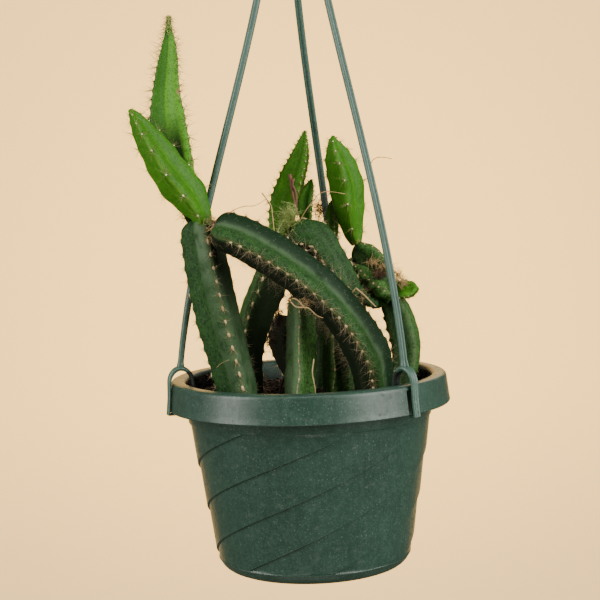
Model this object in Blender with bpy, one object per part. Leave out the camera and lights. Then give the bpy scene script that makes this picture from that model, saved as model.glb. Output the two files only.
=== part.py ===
"""Dog tail cactus in its hanging pot, built as separate solids.

A green plastic pot with a skirted rim and spiral relief is filled with peat. Old, dark,
three-ribbed cactus stems stand in the peat, young bright stems grow from the old ones, and
all of them carry needle spines. A plastic hanger of one hook and three clip-on rods carries
the pot.

All sizes below are in millimetres in the pot's own frame: Z up from the pot's underside, on
the pot's axis, with -Y towards the viewer. The world's origin is the underside of the hook's
crown, so the pot's frame hangs HANG_HEIGHT below it.
"""

import math
from dataclasses import dataclass, field

import bmesh
import bpy
from mathutils import Vector
from mathutils.bvhtree import BVHTree
from mathutils.kdtree import KDTree

MM = 0.001

# Driving dimensions of the pot
POT_HEIGHT = 101.9
SKIRT_RADIUS = 75.0
SKIRT_FOOT = 86.9
SKIRT_WALL = 1.4
BODY_RADIUS_AT_SKIRT = 65.5
BODY_RADIUS_LOW = 53.1
BODY_LOW_LEVEL = 15.0
WALL = 1.4
FOOT_RADIUS = 44.0
FLOOR_LEVEL = 3.0
SEAT_GAP = 0.3
HOLE_GAP = 0.42

# Spiral relief on the pot's body: bands that rise to the right and overhang the band below
BANDS = 7
COLUMNS_PER_BAND = 3
RELIEF_FOOT = 7.0
RELIEF_TOP = 80.0
RELIEF_STEP = 1.0
RELIEF_ROWS = 10
RELIEF_SLOPE = 0.449
RELIEF_START = math.radians(-129.5)
RELIEF_EASE = 0.7
STEP_ANGLE = math.radians(1.0)

# Drain holes in the pot's floor
DRAIN_HOLES = 5
DRAIN_RADIUS = 4.0
DRAIN_CIRCLE = 28.0
DRAIN_SIDES = 10

# Peat
SOIL_LEVEL = 91.6
SOIL_RIPPLE = 1.3

# Hanger
HANG_HEIGHT = 435.0
HUB_LEVEL = 390.0
HUB_RADIUS = 9.5
ROD_CIRCLE = 5.5
ROD_WIDTH = 3.6
ROD_DEPTH = 3.0
ROD_GROOVE = 0.45
ROD_RINGS = 14
CLIP_RADIUS = 68.9
CLIP_TOP = 110.0
STRAP_WIDTH = 5.2
STRAP_THICK = 1.6
STRAP_SWELL = 0.8
STRAP_DROP = 1.7
STRAP_HALF_SPAN = 6.2
STRAP_LEG_TOP = 102.0
STRAP_INNER_END = 96.5
SKIRT_LEAN = 1.0 / 10.1
NOTCH_WIDTH = 3.6
NOTCH_OFFSET = -2.4
NOTCH_INSIDE = 69.5
NOTCH_OUTSIDE = 80.0
COLLAR_SCALE = 1.2
SOCKET_DEPTH = 4.0
SOCKET_CLEAR = 0.35
HOOK_INNER_RADIUS = 11.0
HOOK_BAR_RADIUS = 2.3
HOOK_START = math.radians(-58.0)
HOOK_END = math.radians(203.0)
HOOK_NECK = 9.0
HOOK_TIP = 1.6

# Stems
RIBS = 3
OLD_RING_STEP = 8.0
YOUNG_RING_STEP = 5.0
YOUNG_AREOLE_STEP = 10.0
SHOULDER_ANGLE = 22.0
DOME_SHARE = 0.62
SCALLOP = 0.07
SPINE_LENGTH = 6.5
SPINE_RADIUS = 0.5
SPINE_ROOT = 1.6
SPINE_CLEAR = 0.6
CROWN_SPINE_LENGTH = 5.0
BARE_OVER_SOIL = 5.0
BARE_AT_SEAT = 9.0
LEAN_ALONG = (0.55, -0.45, 0.1)
LEAN_ACROSS = (0.4, -0.5, 0.15, -0.1)


@dataclass(frozen=True)
class Rod:
    """One hanger rod: its bearing, and how far its two middle control points bow."""

    azimuth: float
    bow_low: float
    bow_high: float
    bow_side: float


@dataclass(frozen=True)
class Stem:
    """One cactus stem: a route of (x, y, z, rib radius) from its base to its tip."""

    route: tuple
    roll: float
    young: bool = False
    seats: tuple = field(default=())
    spine_step: float = 12.0


RODS = {
    "hanger_rod_left": Rod(194.5, 9.9, -17.4, 0.9),
    "hanger_rod_right": Rod(314.5, 12.0, -11.0, 0.8),
    "hanger_rod_rear": Rod(74.5, 18.2, -22.3, 4.4),
}

STEMS = {
    "old_stem_left": Stem(
        route=((-34, -27, 73, 11.0), (-36.9, -27, 97.5, 11.8), (-40, -26.5, 112.5, 12.4),
               (-44.1, -26, 131, 13.2), (-48, -25.5, 153.5, 13.4), (-51, -25, 171.5, 12.4),
               (-52.5, -25, 179.5, 11.6)),
        roll=15),
    "old_stem_arching": Stem(
        route=((36, -18, 72, 11.0), (34, -23, 97.5, 11.8), (32, -28.5, 111.1, 13.0),
               (29.4, -32, 119.8, 12.9), (24.1, -35, 129.6, 12.2), (17.6, -38, 138.6, 12.0),
               (10.7, -40, 146.3, 12.4), (-3, -41.5, 158.9, 12.6), (-18, -42, 170.2, 12.6),
               (-31.5, -42, 178.7, 12.2), (-38.5, -42, 181.6, 11.2)),
        roll=-5),
    "old_stem_rear_arch": Stem(
        route=((20, 13, 74, 7.8), (22.5, 11, 98, 8.4), (24.5, 8.5, 116, 8.6),
               (24.5, 4.5, 132.5, 8.8), (20.8, 0, 149, 8.8), (13.8, -1, 164, 9.0),
               (6.8, -1.5, 173.6, 9.2), (0.8, -2.5, 176, 8.6), (-2.6, -3, 176.2, 8.0)),
        roll=-25),
    "old_stem_right": Stem(
        route=((46, 5, 74, 7.2), (52.4, 9, 96, 8.4), (54.9, 11, 110.5, 9.2), (54.3, 12, 120, 9.4),
               (51.9, 13, 129.5, 9.2), (49.1, 13.5, 136.2, 8.2)),
        roll=19),
    "old_stem_back_left": Stem(
        route=((-28.6, -2, 74, 6.8), (-31.1, 0, 96.5, 7.0), (-31.3, 3, 115.5, 8.3),
               (-27.6, 6, 134, 10.4), (-20.8, 9, 149, 11.2), (-15.8, 12, 162, 10.6),
               (-13.6, 13, 169.5, 8.6)),
        roll=-17),
    "old_stem_shaded": Stem(
        route=((0, 36, 74, 7.4), (-3, 36, 88.5, 8.0), (-6.2, 36.5, 98.5, 8.0),
               (-10.2, 37, 106.5, 8.2), (-13, 38, 115, 8.2), (-13.6, 38, 122, 7.6),
               (-12.7, 38, 126.5, 6.4)),
        roll=20),
    "old_stem_front": Stem(
        route=((-4.5, -26, 74, 8.6), (-4, -24, 96, 9.2), (-3, -22, 107.5, 9.2),
               (-2.5, -19, 120, 8.8), (-2, -17, 130, 8.2), (-1.5, -15.5, 137, 6.8)),
        roll=-12),
    "old_stem_middle": Stem(
        route=((4, 18, 74, 7.8), (7, 18, 97, 8.4), (8, 19, 112.5, 8.4), (8.5, 21, 125.5, 8.2),
               (8.5, 22, 133.5, 6.6)),
        roll=30),
    "old_stem_pale": Stem(
        route=((13.5, -14, 74, 7.2), (14, -13, 96.5, 7.8), (14.5, -11.5, 110, 7.8),
               (14.5, -10, 119.5, 7.4), (14.5, -9, 127, 6.0)),
        roll=0),
    "old_stem_knobbly": Stem(
        route=((47.4, 11, 140.8, 8.4), (41.8, 12, 145.3, 12.2), (35.4, 13.5, 150.2, 12.8),
               (30.5, 15, 155.4, 10.0), (27.5, 16, 158, 7.8)),
        roll=0, seats=("old_stem_right",), spine_step=8.0),
    "old_stem_stub": Stem(
        route=((42, 12, 153, 7.0), (38, 11, 159.5, 8.4), (33.2, 10, 164.3, 8.8),
               (30.6, 10, 166, 7.2)),
        roll=40, seats=("old_stem_knobbly",)),
    "young_stem_left_front": Stem(
        route=((-51, -29, 183.5, 3.0), (-52.6, -30, 190, 5.6), (-59, -31, 199.8, 11.0),
               (-67, -33, 210.4, 11.8), (-73.7, -35, 222.6, 10.0), (-79.8, -36, 233.8, 6.8),
               (-83.3, -37, 241.4, 3.4), (-84.9, -37, 243.7, 1.4)),
        roll=-14, young=True, seats=("old_stem_left",)),
    "young_stem_left_rear": Stem(
        route=((-56, -22.5, 181, 3.0), (-58.6, -21, 191, 4.6), (-62.6, -15, 211, 9.4),
               (-67, -12, 234, 11.2), (-68, -10, 252.5, 8.4), (-66.5, -9, 270, 5.8),
               (-65.5, -8, 281.5, 3.2), (-65.5, -8, 286.5, 1.9), (-65, -8, 292, 1.6)),
        roll=55, young=True, seats=("old_stem_left",)),
    "young_stem_centre": Stem(
        route=((-13.5, 13, 169.5, 3.0), (-11.5, 13, 180, 7.4), (-8.6, 12, 192, 9.0),
               (-4, 11, 205.5, 8.2), (0.1, 10, 217, 6.0), (2, 9, 225.5, 3.2),
               (3, 9, 230.5, 1.2)),
        roll=5, young=True, seats=("old_stem_back_left",)),
    "young_stem_centre_small": Stem(
        route=((3, 2, 180, 2.6), (2.4, 4, 188.5, 4.8), (3.2, 6, 196, 5.2), (5, 8, 202, 3.0),
               (5.6, 8, 205, 1.0)),
        roll=10, young=True, seats=("old_stem_rear_arch",)),
    "young_stem_right": Stem(
        route=((29.5, 10, 167, 3.0), (26.6, 9, 177.5, 6.4), (25, 7, 189.5, 9.8),
               (23.5, 5, 203.5, 10.6), (20, 3, 216, 8.4), (18, 2, 224, 3.8),
               (18, 2, 227, 1.2)),
        roll=2, young=True, seats=("old_stem_stub",)),
    "young_stem_right_small": Stem(
        route=((14.5, 3.5, 166.5, 2.4), (15.3, 12, 176, 4.0), (16, 19, 185, 4.2),
               (16, 21, 190.5, 2.6), (16, 21.5, 193, 1.0)),
        roll=15, young=True, seats=("old_stem_rear_arch",)),
    "young_stem_tip": Stem(
        route=((46, 10, 141.4, 3.0), (52, 8, 143.2, 6.2), (55.5, 7, 144.2, 6.6), (57.6, 6, 145.2, 4.8)),
        roll=20, young=True, seats=("old_stem_knobbly", "old_stem_right")),
}


# General helpers

def clear_scene():
    """Removes every object that a new file starts with."""
    for obj in list(bpy.data.objects):
        bpy.data.objects.remove(obj, do_unlink=True)


def material(name, colour, roughness):
    """Makes a plain Principled material."""
    mat = bpy.data.materials.new(name)
    mat.use_nodes = True
    shader = mat.node_tree.nodes["Principled BSDF"]
    shader.inputs["Base Color"].default_value = (*colour, 1.0)
    shader.inputs["Roughness"].default_value = roughness
    shader.inputs["Metallic"].default_value = 0.0
    return mat


def add_object(name, bm, mat, parent):
    """Turns a bmesh in millimetres into an object, its faces split into triangles."""
    bmesh.ops.triangulate(bm, faces=bm.faces[:])
    bmesh.ops.scale(bm, vec=(MM, MM, MM), verts=bm.verts[:])
    mesh = bpy.data.meshes.new(name)
    bm.to_mesh(mesh)
    bm.free()
    obj = bpy.data.objects.new(name, mesh)
    bpy.context.scene.collection.objects.link(obj)
    obj.parent = parent
    if mat is not None:
        obj.data.materials.append(mat)
    return obj


def apply_boolean(obj, operands, operation, solver="EXACT"):
    """Joins or cuts an object with a list of others, which are then removed."""
    group = bpy.data.collections.new(obj.name + "_operands")
    bpy.context.scene.collection.children.link(group)
    for other in operands:
        for owner in list(other.users_collection):
            owner.objects.unlink(other)
        group.objects.link(other)
    modifier = obj.modifiers.new("join", "BOOLEAN")
    modifier.operation = operation
    modifier.operand_type = "COLLECTION"
    modifier.collection = group
    modifier.solver = solver
    bpy.context.view_layer.update()
    evaluated = obj.evaluated_get(bpy.context.evaluated_depsgraph_get())
    mesh = bpy.data.meshes.new_from_object(evaluated)
    obj.modifiers.remove(modifier)
    obj.data = mesh
    for other in list(group.objects):
        bpy.data.objects.remove(other, do_unlink=True)
    bpy.data.collections.remove(group)


def shade(obj, angle=35.0):
    """Shades the rounded faces smooth and keeps the true edges sharp."""
    obj.data.shade_smooth()
    obj.data.set_sharp_from_angle(angle=math.radians(angle))


def loft(bm, rings, close_start=True, close_end=True):
    """Skins closed rings of equal length and caps the ends flat."""
    rows = [[bm.verts.new(point) for point in ring] for ring in rings]
    count = len(rows[0])
    for low, high in zip(rows, rows[1:]):
        for j in range(count):
            k = (j + 1) % count
            bm.faces.new((low[j], low[k], high[k], high[j]))
    if close_start:
        bm.faces.new(list(reversed(rows[0])))
    if close_end:
        bm.faces.new(rows[-1])
    return rows


def polar(radius, angle, height):
    """A point from its distance to the axis, its angle in radians and its height."""
    return Vector((radius * math.cos(angle), radius * math.sin(angle), height))


def bezier(points, t):
    """A point on a Bezier curve of any degree."""
    points = [Vector(p) for p in points]
    while len(points) > 1:
        points = [a.lerp(b, t) for a, b in zip(points, points[1:])]
    return points[0]


# Pot

def body_radius(height):
    """The pot body's outside radius below its relief."""
    slope = (BODY_RADIUS_AT_SKIRT - BODY_RADIUS_LOW) / (SKIRT_FOOT - BODY_LOW_LEVEL)
    return BODY_RADIUS_LOW + slope * (height - BODY_LOW_LEVEL) - 0.5 * RELIEF_STEP


def relief_twist(height):
    """How far the spiral bands have turned at a height, in radians."""
    middle_radius = body_radius(0.5 * (RELIEF_FOOT + RELIEF_TOP))
    level = min(max(height, RELIEF_FOOT), RELIEF_TOP)
    return (level - RELIEF_FOOT) / (RELIEF_SLOPE * middle_radius)


def column_angles(height):
    """The angle and the place in its band, from 0 to 1, of each column of the pot's mesh."""
    columns = []
    band = 2 * math.pi / BANDS
    for number in range(BANDS):
        for step in range(COLUMNS_PER_BAND + 1):
            place = step / COLUMNS_PER_BAND
            angle = RELIEF_START + number * band + place * (band - STEP_ANGLE)
            columns.append((angle + relief_twist(height), place))
    return columns


INNER_WALL = (
    (FLOOR_LEVEL, 46.0),
    (4.8, 48.4),
    (9.0, body_radius(9.0) - WALL),
    (SKIRT_FOOT, body_radius(SKIRT_FOOT) - WALL),
    (97.0, 64.4),
)


def pot_rings():
    """The pot's rings, from under its floor, up its outside and down its inside."""
    plain = [
        (39.0, 1.5), (40.0, 0.0), (FOOT_RADIUS, 0.0), (47.0, 0.8), (49.5, 3.0),
        (body_radius(RELIEF_FOOT), RELIEF_FOOT - RELIEF_EASE),
    ]
    rows = [(radius, height, 0.0, RELIEF_FOOT) for radius, height in plain]
    for step in range(RELIEF_ROWS + 1):
        height = RELIEF_FOOT + (RELIEF_TOP - RELIEF_FOOT) * step / RELIEF_ROWS
        rows.append((body_radius(height), height, RELIEF_STEP, height))
    upper = [
        (body_radius(RELIEF_TOP) + RELIEF_STEP, RELIEF_TOP + RELIEF_EASE),
        (BODY_RADIUS_AT_SKIRT, SKIRT_FOOT),
        (67.2, POT_HEIGHT - 1.7), (71.8, POT_HEIGHT - 1.7),
        (SKIRT_RADIUS - SKIRT_WALL, SKIRT_FOOT), (SKIRT_RADIUS, SKIRT_FOOT),
        (73.4, 100.2), (72.2, 101.5), (70.6, POT_HEIGHT), (67.4, POT_HEIGHT), (65.9, 101.2),
        (65.2, 99.6),
    ]
    rows += [(radius, height, 0.0, RELIEF_TOP) for radius, height in upper]
    rows += [(radius, height, 0.0, RELIEF_TOP) for height, radius in reversed(INNER_WALL)]
    rings = []
    for radius, height, relief, level in rows:
        columns = column_angles(level)
        rings.append([polar(radius + relief * place, angle, height) for angle, place in columns])
    return rings


def build_pot(parent, mat):
    """The pot with its rim notches and drain holes."""
    bm = bmesh.new()
    rows = loft(bm, pot_rings(), close_start=False, close_end=False)
    for row, height in ((rows[0], 1.5), (rows[-1], FLOOR_LEVEL)):
        centre = bm.verts.new((0.0, 0.0, height))
        for j, vert in enumerate(row):
            bm.faces.new((centre, vert, row[(j + 1) % len(row)]))
    bmesh.ops.recalc_face_normals(bm, faces=bm.faces[:])
    pot = add_object("pot", bm, mat, parent)
    cutters = []
    for rod in RODS.values():
        cutters.append(notch_cutter(rod, parent))
    for number in range(DRAIN_HOLES):
        cutters.append(drain_cutter(2 * math.pi * number / DRAIN_HOLES, parent))
    apply_boolean(pot, cutters, "DIFFERENCE")
    shade(pot)
    return pot


def notch_cutter(rod, parent):
    """A block that cuts the slot beside a clip's leg through the rim's skirt."""
    azimuth = math.radians(rod.azimuth)
    outward = Vector((math.cos(azimuth), math.sin(azimuth), 0.0))
    along = Vector((-math.sin(azimuth), math.cos(azimuth), 0.0))
    bm = bmesh.new()
    rings = []
    for height in (SKIRT_FOOT - 3.0, POT_HEIGHT - 2.4):
        ring = []
        for radius, side in ((NOTCH_INSIDE, -0.5), (NOTCH_OUTSIDE, -0.5),
                             (NOTCH_OUTSIDE, 0.5), (NOTCH_INSIDE, 0.5)):
            point = outward * radius + along * (NOTCH_OFFSET + side * NOTCH_WIDTH)
            ring.append(Vector((point.x, point.y, height)))
        rings.append(ring)
    loft(bm, rings)
    return add_object("notch", bm, None, parent)


def drain_cutter(angle, parent):
    """A drum that cuts one drain hole in the pot's floor."""
    bm = bmesh.new()
    centre = polar(DRAIN_CIRCLE, angle, 0.0)
    rings = []
    for height in (-1.0, FLOOR_LEVEL + 0.2):
        ring = []
        for number in range(DRAIN_SIDES):
            turn = 2 * math.pi * number / DRAIN_SIDES
            ring.append(centre + polar(DRAIN_RADIUS, turn, height))
        rings.append(ring)
    loft(bm, rings)
    return add_object("drain", bm, None, parent)


# Peat

def soil_height(radius, angle):
    """The peat's surface: low mounds and hollows."""
    x = radius * math.cos(angle)
    y = radius * math.sin(angle)
    wave = math.sin(0.17 * x + 1.1) * math.cos(0.21 * y - 0.4) + 0.5 * math.sin(0.43 * x - 0.37 * y)
    return SOIL_LEVEL + SOIL_RIPPLE * wave * min(1.0, (66.0 - radius) / 12.0)


def build_soil(parent, mat):
    """The peat plug, a seat's gap clear of the pot, with a hole for each rooted stem."""
    columns = [angle for angle, _ in column_angles(RELIEF_TOP)]
    rings = []
    for height, radius in INNER_WALL[:-2]:
        lift = SEAT_GAP if height == FLOOR_LEVEL else 0.0
        rings.append([polar(radius - SEAT_GAP, angle, height + lift) for angle in columns])
    share = (SOIL_LEVEL - 9.0) / (SKIRT_FOOT - 9.0)
    low, high = INNER_WALL[2][1], INNER_WALL[3][1]
    edge = low + (high - low) * min(share, 1.0) - SEAT_GAP
    for radius in (edge, 52.0, 40.0, 28.0, 15.0):
        rings.append([polar(radius, angle, soil_height(radius, angle)) for angle in columns])
    bm = bmesh.new()
    rows = loft(bm, rings, close_start=False, close_end=False)
    for row, height in ((rows[0], FLOOR_LEVEL + SEAT_GAP), (rows[-1], soil_height(0.0, 0.0))):
        centre = bm.verts.new((0.0, 0.0, height))
        for j, vert in enumerate(row):
            bm.faces.new((centre, vert, row[(j + 1) % len(row)]))
    bmesh.ops.recalc_face_normals(bm, faces=bm.faces[:])
    soil = add_object("soil", bm, mat, parent)
    cutters = []
    for name, stem in STEMS.items():
        if stem.route[0][2] < SOIL_LEVEL:
            cutters.append(add_object(name + "_hole", stem_mesh(stem, HOLE_GAP), None, parent))
    apply_boolean(soil, cutters, "DIFFERENCE")
    shade(soil, 60.0)
    return soil


# Stems

def spline(points, t):
    """A Catmull-Rom curve through the points, with t from 0 to the number of spans."""
    last = len(points) - 2
    span = min(int(t), last)
    local = t - span
    p1 = points[span]
    p2 = points[span + 1]
    p0 = points[span - 1] if span > 0 else tuple(2 * a - b for a, b in zip(p1, p2))
    p3 = points[span + 2] if span < last else tuple(2 * b - a for a, b in zip(p1, p2))
    result = []
    for a, b, c, d in zip(p0, p1, p2, p3):
        linear = c - a
        square = 2 * a - 5 * b + 4 * c - d
        cube = -a + 3 * b - 3 * c + d
        result.append(0.5 * (2 * b + linear * local + square * local ** 2 + cube * local ** 3))
    return result


def stem_stations(stem, spacing):
    """Centres, tangents and rib radii at even steps along a stem, with the distance run."""
    fine = 400
    spans = len(stem.route) - 1
    samples = [spline(stem.route, spans * i / fine) for i in range(fine + 1)]
    centres = [Vector(sample[:3]) for sample in samples]
    run = [0.0]
    for before, after in zip(centres, centres[1:]):
        run.append(run[-1] + (after - before).length)
    count = max(3, round(run[-1] / spacing))
    stations = []
    index = 0
    for number in range(count + 1):
        target = run[-1] * number / count
        while index < fine - 1 and run[index + 1] < target:
            index += 1
        share = (target - run[index]) / max(run[index + 1] - run[index], 1e-9)
        centre = centres[index].lerp(centres[index + 1], share)
        tangent = (centres[min(index + 2, fine)] - centres[max(index - 1, 0)]).normalized()
        radius = samples[index][3] + (samples[index + 1][3] - samples[index][3]) * share
        stations.append((centre, tangent, radius, target))
    return stations


def section_axes(tangent):
    """The two directions across a stem: towards the viewer, and to its side."""
    front = Vector((0.0, -1.0, 0.0))
    front = (front - tangent * front.dot(tangent)).normalized()
    return front, tangent.cross(front)


def rib_profile(angle, young):
    """The outline's share of the rib radius: rounded ribs with shallow valleys between."""
    valley = 0.42 if young else 0.56
    sharpness = 4.0 if young else 3.0
    return valley + (1.0 - valley) * abs(math.cos(0.5 * RIBS * angle)) ** sharpness


def stem_ring(centre, tangent, radius, stem, grow=0.0):
    """One ring of a stem: for each rib its crest, two shoulders and a valley."""
    front, side = section_axes(tangent)
    ring = []
    for rib in range(RIBS):
        for offset in (-SHOULDER_ANGLE, 0.0, SHOULDER_ANGLE, 180.0 / RIBS):
            share = rib_profile(math.radians(offset), stem.young)
            turn = math.radians(stem.roll + 360.0 / RIBS * rib + offset)
            reach = radius * share + grow
            ring.append(centre + (front * math.cos(turn) + side * math.sin(turn)) * reach)
    return ring


def stem_mesh(stem, grow=0.0):
    """A stem's closed skin without spines, swollen by grow for a cutter."""
    spacing = YOUNG_RING_STEP if stem.young else OLD_RING_STEP
    stations = stem_stations(stem, spacing)
    rings = []
    for number, (centre, tangent, radius, _) in enumerate(stations):
        if stem.young and number % 2:
            radius *= 1.0 - SCALLOP
        if number == 0:
            centre = centre - tangent * grow
        rings.append(stem_ring(centre, tangent, radius, stem, grow))
    centre, tangent, radius, _ = stations[-1]
    dome = DOME_SHARE * radius + grow
    for share, height in ((0.82, 0.52), (0.42, 0.9)):
        rings.append(stem_ring(centre + tangent * dome * height, tangent, radius * share, stem,
                               grow * share))
    bm = bmesh.new()
    rows = loft(bm, rings, close_end=False)
    peak = bm.verts.new(centre + tangent * dome)
    for j, vert in enumerate(rows[-1]):
        bm.faces.new((peak, vert, rows[-1][(j + 1) % len(rows[-1])]))
    bmesh.ops.recalc_face_normals(bm, faces=bm.faces[:])
    return bm


def spine_places(stem):
    """Root and tip of each needle: one to an areole, leaning up, down and aside in turn."""
    stations = stem_stations(stem, YOUNG_AREOLE_STEP if stem.young else stem.spine_step)
    places = []
    turn_count = 0
    for centre, tangent, radius, run in stations:
        buried = centre.z < SOIL_LEVEL + BARE_OVER_SOIL
        near_base = run < BARE_AT_SEAT and stem.seats
        if buried or near_base:
            continue
        front, side = section_axes(tangent)
        for rib in range(RIBS):
            turn_count += 1
            turn = math.radians(stem.roll + 360.0 / RIBS * rib)
            outward = front * math.cos(turn) + side * math.sin(turn)
            across = tangent.cross(outward)
            lean_along = LEAN_ALONG[turn_count % len(LEAN_ALONG)]
            lean_across = LEAN_ACROSS[turn_count % len(LEAN_ACROSS)]
            heading = (outward + tangent * lean_along + across * lean_across).normalized()
            crest = centre + outward * radius
            places.append((crest - outward * SPINE_ROOT, crest + heading * SPINE_LENGTH))
    centre, tangent, radius, _ = stations[-1]
    crown = centre + tangent * DOME_SHARE * radius
    front, side = section_axes(tangent)
    for number in range(RIBS):
        turn = 2 * math.pi * (number + 0.5) / RIBS
        outward = front * math.cos(turn) + side * math.sin(turn)
        heading = (tangent + outward * 0.6).normalized()
        root = crown - tangent * min(1.0, 0.5 * radius)
        places.append((root, crown + heading * CROWN_SPINE_LENGTH))
    return places


def is_clear(root, tip, trees, needles):
    """Whether a needle keeps away from every other piece and its needles."""
    for number in range(11):
        point = root.lerp(tip, number / 10.0)
        for tree in trees:
            place, normal, _, distance = tree.find_nearest(point)
            inside = (point - place).dot(normal) < 0.0
            if inside or (distance < SPINE_CLEAR and number > 2):
                return False
        if needles is not None and needles.find(point)[2] < 2.0 * SPINE_CLEAR:
            return False
    return True


def needle_mesh(root, tip):
    """A three-sided needle."""
    heading = (tip - root).normalized()
    helper = Vector((0.0, 0.0, 1.0)) if abs(heading.z) < 0.8 else Vector((1.0, 0.0, 0.0))
    first = heading.cross(helper).normalized()
    second = heading.cross(first)
    bm = bmesh.new()
    base = []
    for number in range(3):
        turn = 2 * math.pi * number / 3
        offset = (first * math.cos(turn) + second * math.sin(turn)) * SPINE_RADIUS
        base.append(bm.verts.new(root + offset))
    point = bm.verts.new(tip)
    bm.faces.new(base)
    for j in range(3):
        bm.faces.new((point, base[(j + 1) % 3], base[j]))
    bmesh.ops.recalc_face_normals(bm, faces=bm.faces[:])
    return bm


def build_stems(parent, mats, fixed_trees):
    """All stems, seated on their parents first and given their needles after."""
    meshes = {name: stem_mesh(stem) for name, stem in STEMS.items()}
    trees = {name: BVHTree.FromBMesh(bm) for name, bm in meshes.items()}
    objects = {}
    for name, stem in STEMS.items():
        mat = mats["young"] if stem.young else mats["old"]
        objects[name] = add_object(name, meshes[name], mat, parent)
        cutters = []
        for seat in stem.seats:
            cutters.append(add_object("seat", stem_mesh(STEMS[seat], HOLE_GAP), None, parent))
        if cutters:
            apply_boolean(objects[name], cutters, "DIFFERENCE")
    placed = []
    for name, stem in STEMS.items():
        others = [tree for key, tree in trees.items() if key != name] + fixed_trees
        needles = None
        if placed:
            needles = KDTree(len(placed))
            for index, point in enumerate(placed):
                needles.insert(point, index)
            needles.balance()
        operands = []
        fresh = []
        for root, tip in spine_places(stem):
            if is_clear(root, tip, others, needles):
                operands.append(add_object("needle", needle_mesh(root, tip), None, parent))
                fresh += [root.lerp(tip, number / 8.0) for number in range(9)]
        apply_boolean(objects[name], operands, "UNION")
        placed += fresh
        shade(objects[name], 50.0)
    return objects


# Hanger

def rod_point(rod, share):
    """A point on a rod's middle line, from its clip at 0 to the hub at 1."""
    azimuth = math.radians(rod.azimuth)
    outward = Vector((math.cos(azimuth), math.sin(azimuth), 0.0))
    along = Vector((-math.sin(azimuth), math.cos(azimuth), 0.0))
    radius = CLIP_RADIUS + (ROD_CIRCLE - CLIP_RADIUS) * share
    radius += 3 * share * (1 - share) ** 2 * rod.bow_low
    radius += 3 * share ** 2 * (1 - share) * rod.bow_high
    sideways = 3 * share * (1 - share) * rod.bow_side
    height = CLIP_TOP + (HUB_LEVEL - CLIP_TOP) * share
    return outward * radius + along * sideways + Vector((0.0, 0.0, height))


def rod_ring(rod, share, scale=1.0, grow=0.0):
    """A rod's section: a rounded bar with a groove down its outer and inner face."""
    azimuth = math.radians(rod.azimuth)
    centre = rod_point(rod, share)
    tangent = (rod_point(rod, share + 0.005) - rod_point(rod, share - 0.005)).normalized()
    outward = Vector((math.cos(azimuth), math.sin(azimuth), 0.0))
    outward = (outward - tangent * outward.dot(tangent)).normalized()
    across = tangent.cross(outward)
    half_width = 0.5 * ROD_WIDTH * scale + grow
    half_depth = 0.5 * ROD_DEPTH * scale + grow
    groove = half_depth - (ROD_GROOVE if grow == 0.0 else 0.0)
    outline = [
        (half_depth, -0.6 * half_width), (groove, 0.0), (half_depth, 0.6 * half_width),
        (0.55 * half_depth, half_width), (-0.55 * half_depth, half_width),
        (-half_depth, 0.6 * half_width), (-groove, 0.0), (-half_depth, -0.6 * half_width),
        (-0.55 * half_depth, -half_width), (0.55 * half_depth, -half_width),
    ]
    return [centre + outward * out + across * over for out, over in outline]


def strap_path():
    """The clip's middle line in its radial plane, with its thickness: outer leg to inner."""
    path = []
    for height in (SKIRT_FOOT - STRAP_DROP, SKIRT_FOOT, 94.0):
        stand_off = SEAT_GAP + 0.5 * STRAP_THICK + SKIRT_LEAN * (SKIRT_FOOT - height)
        path.append((SKIRT_RADIUS + stand_off, height, STRAP_THICK))
    for number in range(9):
        turn = math.pi * number / 8
        path.append((CLIP_RADIUS + STRAP_HALF_SPAN * math.cos(turn),
                     STRAP_LEG_TOP + (CLIP_TOP - STRAP_LEG_TOP) * math.sin(turn),
                     STRAP_THICK + STRAP_SWELL * math.sin(turn)))
    path.append((CLIP_RADIUS - STRAP_HALF_SPAN - SEAT_GAP, STRAP_INNER_END, STRAP_THICK))
    return path


def strap_mesh(rod):
    """The clip: a flat strap bent over the rim."""
    azimuth = math.radians(rod.azimuth)
    outward = Vector((math.cos(azimuth), math.sin(azimuth), 0.0))
    along = Vector((-math.sin(azimuth), math.cos(azimuth), 0.0))
    path = strap_path()
    rings = []
    for number, (radius, height, thickness) in enumerate(path):
        before = path[max(number - 1, 0)]
        after = path[min(number + 1, len(path) - 1)]
        run = Vector((after[0] - before[0], 0.0, after[1] - before[1])).normalized()
        normal = Vector((run.z, 0.0, -run.x))
        ring = []
        for out, over in ((-0.5, -0.5), (0.5, -0.5), (0.5, 0.5), (-0.5, 0.5)):
            reach = radius + normal.x * out * thickness
            level = height + normal.z * out * thickness
            ring.append(outward * reach + along * over * STRAP_WIDTH + Vector((0, 0, level)))
        rings.append(ring)
    bm = bmesh.new()
    loft(bm, rings)
    bmesh.ops.recalc_face_normals(bm, faces=bm.faces[:])
    return bm


def tooth_mesh(rod):
    """The small catch on the clip's leg that holds the skirt's lower edge."""
    azimuth = math.radians(rod.azimuth)
    outward = Vector((math.cos(azimuth), math.sin(azimuth), 0.0))
    along = Vector((-math.sin(azimuth), math.cos(azimuth), 0.0))
    rings = []
    for side in (-0.4, 0.4):
        ring = []
        for radius, height in ((72.6, -0.9), (72.6, -0.3), (76.3, -0.3), (76.3, -1.5)):
            point = outward * radius + along * side * STRAP_WIDTH
            ring.append(Vector((point.x, point.y, SKIRT_FOOT + height)))
        rings.append(ring)
    bm = bmesh.new()
    loft(bm, rings)
    bmesh.ops.recalc_face_normals(bm, faces=bm.faces[:])
    return bm


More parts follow.
